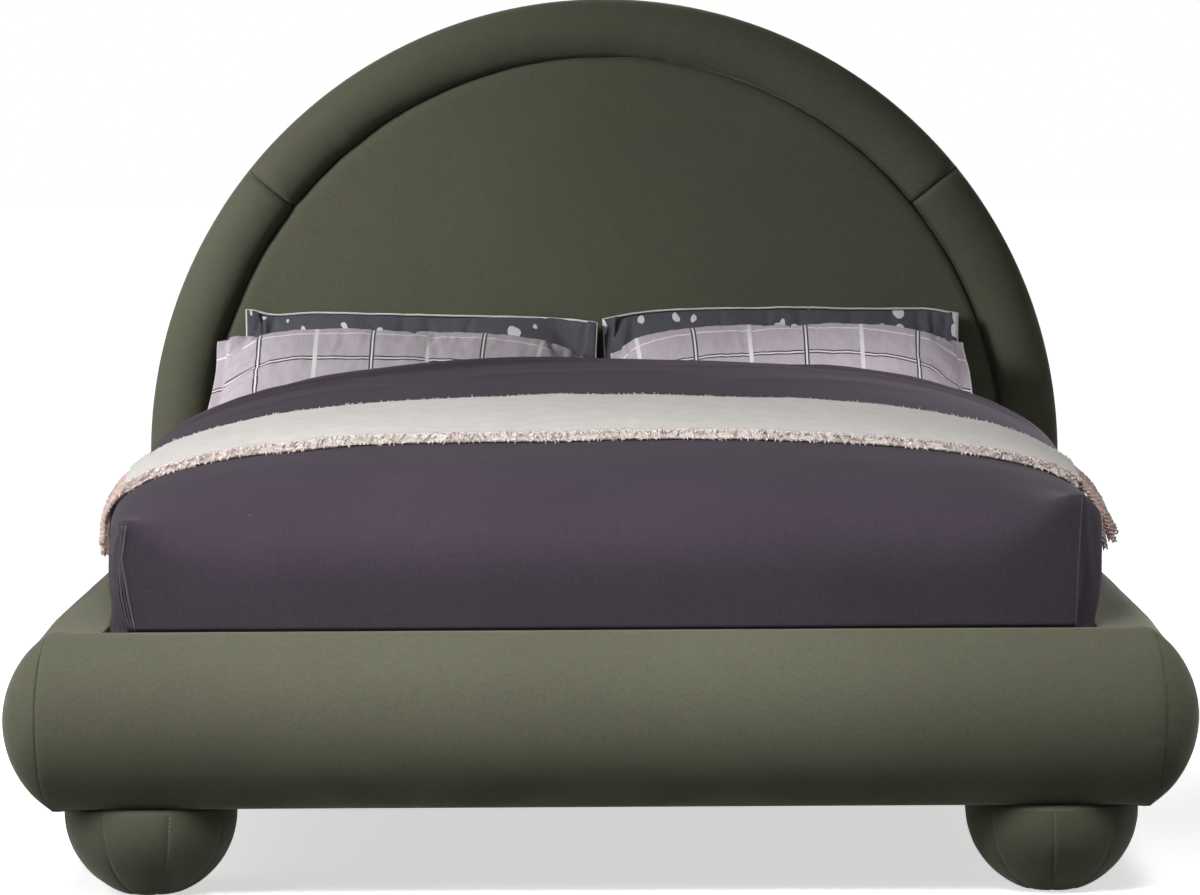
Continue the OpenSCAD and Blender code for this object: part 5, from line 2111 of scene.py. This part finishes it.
    def hang(
        self, sign: float, k: float, long: float, offset: float, lean: float, off: float
    ) -> list[Vector]:
        """Follows the duvet's shoulder from the throw's end, and hangs free below it.

        Args:
            sign: -1 on the left-hand side and 1 on the right.
            k: The place along the duvet.
            long: The cord's length.
            offset: How far the cord lies beside its tassel's middle at its end.
            lean: How far it leans along the bed, as a share of its length.
            off: How far it stands off the duvet, over the least.

        Returns:
            The cord's points.
        """
        u = self.reach - 0.004
        step = long / self.cord_steps
        path: list[Vector] = []
        for n in range(self.cord_steps + 1):
            t = n / self.cord_steps
            up = self.gap + 0.0052 + off * ease(1.2 * t)
            at = k + (lean * long + offset) * t / self.duvet.length
            if u < 0.999:
                path.append(self.over(sign * u, at, up))
                ahead = self.over(sign * min(u + 0.002, 1.0), at, up)
                u = min(1.0, u + 0.002 * step / max((ahead - path[-1]).length, 1e-4))
            else:
                sway = Vector((off * (-3.0 if sign < 0 else 32.0), (lean * long + offset) / long, -1.0))
                path.append(path[-1] + sway.normalized() * step)
        return path

    def add_cord(self, cords: Strands, path: list[Vector], rng: random.Random) -> None:
        """Adds one cord of two strands, twisted about its path.

        Args:
            cords: The cords gathered so far.
            path: The cord's middle line.
            rng: Where its twist and its shade are drawn from.
        """
        phase = rng.uniform(0.0, 2 * math.pi)
        dense = smooth_path([tuple(p) for p in path], 2)
        long = sum((b - a).length for a, b in zip(path, path[1:]))
        last = len(dense) - 1
        for strand in (0.0, math.pi):
            points, radii = [], []
            for i, middle in enumerate(dense):
                t = i / last
                way = (dense[min(i + 1, last)] - dense[max(i - 1, 0)]).normalized()
                side = way.cross(Vector((0.0, 1.0, 0.0))).normalized()
                up = side.cross(way)
                angle = phase + strand + t * long / self.cord_twist * 2 * math.pi
                wide = self.plies_apart * (1 + 0.9 * clamp((t - 0.88) / 0.12))
                points.append(middle + (side * math.cos(angle) + up * math.sin(angle)) * wide)
                thin = self.cord * (1 - 0.5 * clamp((t - 0.92) / 0.08))
                radii.append(thin * (1 + 0.18 * math.sin(i * 2.4 + phase)))
            cords.cord(points, radii, 5, rng.choice((0.0, 0.15, 0.4, 0.7, 1.0)))


@dataclass
class Pillow:
    """One pillow in its case, with a flat flange beyond the seam at each end."""

    name: str
    node: str
    x: float
    y: float
    z: float
    run: float
    bend: tuple[float, float, float, float]
    full: float
    corded: bool
    crest: Table
    ears: tuple[tuple[float, float, float], tuple[float, float, float]]
    width: float = 0.700
    draw: float = 0.012
    droop: float = 0.016
    seam: float = 0.0018
    flange: float = 0.020
    shift: tuple[float, float] = (0.0, 0.0)
    slant: tuple[float, float] = (0.0, 0.0)
    seed: int = 1
    roll_y: float = 1.0312
    columns: int = 132
    rows: int = 76
    slack: float = 1.12
    pressure: float = 1.2
    cloth_slack: float = 0.045
    most: float = 0.011
    cord: float = 0.0021
    cord_points: int = 70
    stitches: int = 74
    stitch_size: tuple[float, float] = (0.0042, 0.0009)

    @property
    def seam_u(self) -> float:
        """Returns how far across the flange's seam lies, from 0 in the middle to 1 at the end."""
        return 1 - 2 * self.flange / self.width

    @property
    def slot(self) -> str:
        """Returns the record's slot for the cover's cotton."""
        return "slate_cotton" if self.corded else "check_cotton"

    def middle(self, u: float, v: float) -> tuple[Vector, Vector]:
        """Reads the pillow's middle sheet.

        Args:
            u: The place across it, from -1 to 1.
            v: The place up it, from 0 to 1.

        Returns:
            The point and the direction square to the sheet.
        """
        s = self.run * v + self.draw * (0.5 - v) * (1 - u * u)
        rise = sum(b * s ** (i + 1) for i, b in enumerate(self.bend))
        slope = sum((i + 1) * b * s**i for i, b in enumerate(self.bend))
        x = self.x + u * (self.width / 2 - self.draw * (1 - (2 * v - 1) ** 2))
        x += self.slant[0 if u < 0 else 1] * u * u * (1 - v)
        lift = soft_lookup(u, self.crest, 0.10) * ease(v * 1.25)
        z = self.z + rise - self.droop * abs(u) ** 4 + lift
        point = Vector((x, self.y + s - 0.45 * abs(lift), z))
        ear = self.ears[0 if u < 0 else 1]
        near = bump((1 - abs(u)) * self.width / 2, 0.050) * bump((1 - v) * self.run, 0.060)
        wave = 0.0022 * rough(u * 8.0, v * 5.0, self.seed * 1.7)
        wave += 0.0016 * rough(u * 24.0, v * 13.0, self.seed * 2.3)
        normal = Vector((0.0, -slope, 1.0)).normalized()
        return point + Vector(ear) * near + normal * wave, normal

    def across(self, at: float) -> float:
        """Returns u for a column of the flat pattern, with the columns closer at the ends."""
        u = 2 * at - 1
        return math.copysign(abs(u) ** 0.88, u)

    def along(self, at: float) -> float:
        """Returns v for a row of the flat pattern, with the rows closer at the long edges."""
        return 0.5 - 0.275 * math.cos(math.pi * at) - 0.225 * (1 - 2 * at)

    def thickness(self, u: float, v: float) -> float:
        """Returns half the pillow's thickness."""
        inside = clamp(abs(u) / self.seam_u)
        body = (1 - inside**3.4) ** 0.62 * (1 - abs(2 * v - 1) ** 2.8) ** 0.6
        return self.seam + self.full * body

    def place(self, at: Vector) -> Vector:
        """Lays a vertex of the flat pattern: X across, Y up, Z 0 below and 1 above."""
        u, v = self.across(at.x), self.along(at.y)
        point, normal = self.middle(u, v)
        thick = self.thickness(u, v)
        if at.z <= 0.5:
            return point - normal * thick
        seam_gap = (abs(u) - self.seam_u) * self.width / 2
        across = u * self.width / 2
        rim = bump(min(v, 1 - v) * self.run, 0.045)
        pucker = 0.0030 * rim * rough(across * 42.0, v * 7.0, self.seed)
        side = bump(seam_gap + 0.022, 0.030)
        pucker += 0.0042 * side * rough(across * 10.0, v * 22.0, self.seed + 9.0)
        swell = 0.0030 * rough(across * 6.0, v * 3.0, self.seed + 4.0)
        return point + normal * (thick + (pucker + swell) * clamp(thick / 0.02))

    def cover_map(self, bm: Mesh) -> None:
        """Gives the cover its map, in metres over the flat cover, from the flat pattern's places."""
        layer = bm.loops.layers.uv.new("cover")
        long = self.run * self.slack
        for face in bm.faces:
            for loop in face.loops:
                flat = loop.vert.co
                aside = self.across(flat.x) * self.width / 2 + self.shift[0]
                loop[layer].uv = (aside, self.along(flat.y) * long + self.shift[1])

    def build(self, wardrobe: Wardrobe) -> None:
        """Builds the pillow, and its cord where it has one.

        Args:
            wardrobe: The bed's finishes.
        """
        bm = make_grid(self.columns, self.rows)
        double_up(bm, 1.0)
        self.cover_map(bm)
        sewn = bm.verts.layers.float.new("sewn")
        for vert in bm.verts:
            vert[sewn] = 1.0 if abs(self.across(vert.co.x)) > self.seam_u - 0.004 else 0.0
        move_all(bm, self.place)
        finish = wardrobe.slate if self.corded else wardrobe.check
        piece = make_piece(bm, Label(self.name, self.node, self.slot, (self.node,)), finish)
        group = piece.vertex_groups.new(name="sewn")
        marks = piece.data.attributes["sewn"].data
        group.add([i for i, mark in enumerate(marks) if mark.value > 0.5], 1.0, "REPLACE")
        billow(piece, "sewn", pressure=self.pressure, slack=self.cloth_slack, cap=self.most)
        for vert in piece.data.vertices:
            vert.co.y = min(vert.co.y, self.roll_y)
        if self.corded:
            self.build_cord(wardrobe)
        self.build_stitches(wardrobe)

    def border(self, count: int) -> list[Vector]:
        """Returns points all round the pillow's edge, the last like the first."""
        loop = [(mix(-1, 1, n / count), 0.0) for n in range(count)]
        loop += [(1.0, n / count) for n in range(count)]
        loop += [(mix(1, -1, n / count), 1.0) for n in range(count)]
        loop += [(-1.0, 1 - n / count) for n in range(count)]
        return [self.middle(u, v)[0] for u, v in [*loop, loop[0]]]

    def build_cord(self, wardrobe: Wardrobe) -> None:
        """Builds the thin white cord in the cover's edge."""
        bm = bmesh.new()
        add_tube(bm, self.border(self.cord_points), self.cord, 7)
        make_piece(bm, Label(self.name + "_cord", self.node, "throw_wool"), wardrobe.piping)

    def build_stitches(self, wardrobe: Wardrobe) -> None:
        """Builds the stitches along the flange at each end."""
        threads = Strands()
        for sign in (-1.0, 1.0):
            path = []
            for n in range(self.stitches):
                share = mix(0.01, 0.99, n / (self.stitches - 1))
                point, normal = self.middle(sign * self.seam_u, share)
                path.append(point + normal * (self.seam + 0.0003))
            threads.stitches(path, lambda p: Vector((0.0, -0.3, 1.0)), *self.stitch_size)
        make_piece(threads.finish(), Label(self.name + "_stitches", self.node, self.slot), wardrobe.thread)


FRONT = {
    "corded": False,
    "y": 0.4925,
    "z": 0.588,
    "run": 0.432,
    "bend": (0.2, 1.0, -0.906, 0.0),
    "full": 0.041,
}
BACK = {
    "corded": True,
    "y": 0.6785,
    "z": 0.597,
    "run": 0.3504,
    "bend": (0.0, 0.0, 0.0, 16.4),
    "full": 0.0275,
}
PILLOWS = (
    Pillow(
        "light_pillow_left",
        "pillow_front_left",
        x=-0.386,
        crest=((-1, 0.0), (-0.75, 0.010), (-0.4, 0.009), (0.1, 0.003), (0.73, -0.008), (1, -0.018)),
        ears=((-0.004, -0.004, 0.006), (0.0, -0.012, -0.010)),
        shift=(-0.053, 0.0),
        slant=(-0.044, 0.0),
        seed=3,
        **FRONT,
    ),
    Pillow(
        "light_pillow_right",
        "pillow_front_right",
        x=0.352,
        crest=(
            (-1, -0.012),
            (-0.8, 0.0),
            (-0.4, 0.008),
            (0.1, 0.013),
            (0.4, 0.012),
            (0.7, 0.005),
            (1, -0.008),
        ),
        ears=((0.012, -0.010, -0.010), (-0.012, -0.006, 0.004)),
        shift=(0.073, 0.0),
        slant=(0.0, 0.020),
        seed=6,
        **FRONT,
    ),
    Pillow(
        "dark_pillow_left",
        "pillow_back_left",
        x=-0.358,
        crest=(
            (-1, 0.0),
            (-0.85, -0.008),
            (-0.6, 0.0),
            (-0.1, -0.001),
            (0.4, -0.008),
            (0.9, -0.017),
            (1, -0.018),
        ),
        ears=((0.017, -0.006, 0.010), (-0.004, -0.026, -0.001)),
        shift=(0.03, 0.05),
        slant=(0.022, -0.010),
        seed=12,
        **BACK,
    ),
    Pillow(
        "dark_pillow_right",
        "pillow_back_right",
        x=0.348,
        crest=(
            (-1, -0.012),
            (-0.8, -0.004),
            (-0.5, 0.004),
            (0.05, 0.009),
            (0.5, 0.001),
            (0.85, 0.0),
            (1, -0.004),
        ),
        ears=((0.002, -0.004, -0.002), (-0.012, -0.014, -0.002)),
        shift=(0.41, 0.21),
        slant=(0.0, -0.020),
        seed=15,
        **BACK,
    ),
)


@dataclass
class Carcass:
    """The wooden and steel pieces that keep their form from the frame and only need a finish."""

    nodes: dict[str, bpy.types.Object]

    def finish_for(self, name: str, wardrobe: Wardrobe) -> bpy.types.Material:
        """Returns the finish of one node, by its name."""
        kinds = (
            (("frame_bolts", "slat_screws", "foot_bolts", "beam_hangers", "corner_bracket"), wardrobe.steel),
            (("leveller",), wardrobe.plastic),
            (("headboard_board", "rail_formers", "foot_plates"), wardrobe.plywood),
            (("slat_ledge", "side_rail_board", "centre_beam"), wardrobe.pine[Grain.ALONG_Y]),
            (("headboard_post", "foot_core", "centre_leg"), wardrobe.pine[Grain.ALONG_Z]),
        )
        fitting = (made for starts, made in kinds if name.startswith(starts))
        return next(fitting, wardrobe.pine[Grain.ALONG_X])

    def dress(self, wardrobe: Wardrobe) -> None:
        """Gives each node that still shows its finish."""
        for name, node in sorted(self.nodes.items()):
            if node.hide_render:
                continue
            material = self.finish_for(name, wardrobe)
            node.data.materials.clear()
            node.data.materials.append(material)
            LOG.info("%s: finished in %s", name, material.name)


@dataclass(frozen=True)
class Lamp:
    """A square lamp: its place, the point that it faces, its side in metres, its watts and its opening."""

    name: str
    place: tuple[float, float, float]
    aim: tuple[float, float, float]
    size: float
    power: float
    spread: float = 180.0

    def build(self) -> None:
        """Adds the lamp to the scene."""
        data = bpy.data.lights.new(self.name, "AREA")
        data.energy = self.power
        data.size = self.size
        data.spread = math.radians(self.spread)
        lamp = bpy.data.objects.new(self.name, data)
        bpy.context.scene.collection.objects.link(lamp)
        lamp.location = self.place
        lamp.rotation_euler = (Vector(self.aim) - Vector(self.place)).to_track_quat("-Z", "Y").to_euler()


LAMPS = (
    Lamp("window", (-4.2, -2.0, 1.9), (0.0, 0.3, 0.7), 1.8, 51.0),
    Lamp("left", (-3.4, -1.6, 2.4), (-0.8, 1.0, 0.95), 0.9, 14.5, 50.0),
    Lamp("near", (-0.3, -2.7, 2.5), (0.0, -1.1, 0.3), 0.7, 8.5, 60.0),
    Lamp("low", (-2.2, -2.6, 1.8), (-0.70, -1.15, 0.42), 0.8, 3.0, 60.0),
    Lamp("front", (1.2, -0.4, 2.9), (0.60, 0.42, 0.60), 0.5, 1.8, 30.0),
    Lamp("foot_left", (-1.5, -2.6, 2.9), (-0.80, -1.1, 0.42), 0.7, 2.6, 36.0),
    Lamp("foot_right", (1.5, -2.6, 2.9), (0.72, -1.1, 0.42), 0.7, 2.3, 36.0),
    Lamp("right", (4.5, 1.5, 2.0), (0.3, 0.0, 0.5), 1.8, 4.0),
    Lamp("behind", (1.6, 5.2, 1.4), (0.0, 1.1, 0.6), 2.0, 60.0),
)


@dataclass
class Studio:
    """The plain pale room: a floor, soft lamps and the camera."""

    eye: tuple[float, float, float] = (0.0396, -9.2861, 1.2206)
    focal: float = 5325.4
    frame_w: float = 1200.0
    sensor: float = 36.0
    sky: float = 0.015
    yaw: float = 0.00459
    pitch: float = 0.0634
    roll: float = 0.0060

    def build_camera(self) -> None:
        """Puts the camera before the foot end, at eye height and looking a little down."""
        level = Vector((-math.sin(self.yaw), math.cos(self.yaw), 0.0))
        ahead = level * math.cos(self.pitch) + Vector((0.0, 0.0, -math.sin(self.pitch)))
        right = Matrix.Rotation(self.roll, 3, ahead) @ Vector((math.cos(self.yaw), math.sin(self.yaw), 0.0))
        turn = Matrix((right, right.cross(ahead), -ahead)).transposed()
        data = bpy.data.cameras.new("camera")
        data.sensor_width = self.sensor
        data.lens = self.focal * self.sensor / self.frame_w
        data.clip_end = 100.0
        camera = bpy.data.objects.new("camera", data)
        bpy.context.scene.collection.objects.link(camera)
        camera.matrix_world = Matrix.Translation(self.eye) @ turn.to_4x4()
        bpy.context.scene.camera = camera

    def build_floor(self) -> None:
        """Lays the floor, which shows white to the camera and gives little light back."""
        bm = bmesh.new()
        bmesh.ops.create_grid(bm, x_segments=2, y_segments=2, size=40.0)
        bmesh.ops.translate(bm, verts=bm.verts, vec=(0.0, 20.0, -0.0005))
        mesh = bpy.data.meshes.new("floor")
        bm.to_mesh(mesh)
        bm.free()
        floor = bpy.data.objects.new("floor", mesh)
        bpy.context.scene.collection.objects.link(floor)
        s = Shader("floor")
        seen = self.seen_directly(s)
        flat = s.stretched(s.place(), (1.0, 0.8, 1.0))
        far = s.node("VectorMath", {0: flat}, operation="LENGTH").outputs["Value"]
        glow = s.range(far, 1.1, 1.9, 0.62, 1.0)
        s.set(Base_Color=s.blend(rgb(0.06, 0.06, 0.06), rgb(0.95, 0.95, 0.95), seen), Roughness=0.9)
        s.set(Emission_Color=WHITE, Emission_Strength=s.math("MULTIPLY", seen, glow))
        mesh.materials.append(s.material)

    def seen_directly(self, s: Nodes) -> Socket:
        """Returns 1 where the camera, a gloss or a glass sees the surface, and 0 elsewhere."""
        path = s.node("LightPath")
        first = s.math("MAXIMUM", path.outputs["Is Camera Ray"], path.outputs["Is Glossy Ray"])
        return s.math("MAXIMUM", first, path.outputs["Is Transmission Ray"])

    def build_sky(self) -> None:
        """Makes the world: white where it is seen, and a soft even light."""
        world = bpy.data.worlds.new("room")
        bpy.context.scene.world = world
        world.use_nodes = True
        s = Nodes(world.node_tree)
        light = s.node("Background", {0: WHITE, 1: self.sky})
        white = s.node("Background", {0: WHITE})
        chosen = s.node("MixShader", {0: self.seen_directly(s), 1: light.outputs[0], 2: white.outputs[0]})
        s.node("OutputWorld", {0: chosen.outputs[0]})

    def build(self) -> None:
        """Builds the room, its lamps and the camera."""
        self.build_camera()
        self.build_floor()
        self.build_sky()
        for lamp in LAMPS:
            lamp.build()
        bpy.context.scene.view_settings.view_transform = "Standard"


def main() -> None:
    """Builds the bed in order and dresses it."""
    logging.basicConfig(level=logging.INFO, format="%(name)s: %(message)s")
    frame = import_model()
    Studio().build()
    wardrobe = Wardrobe()
    Headboard().build(wardrobe)
    Rails().build(wardrobe)
    BallFeet().build(wardrobe)
    Mattress().build(wardrobe)
    duvet = Duvet()
    duvet.build(wardrobe)
    Throw(duvet).build(wardrobe)
    for pillow in PILLOWS:
        pillow.build(wardrobe)
    Carcass(frame["nodes"]).dress(wardrobe)


if __name__ == "__main__":
    main()
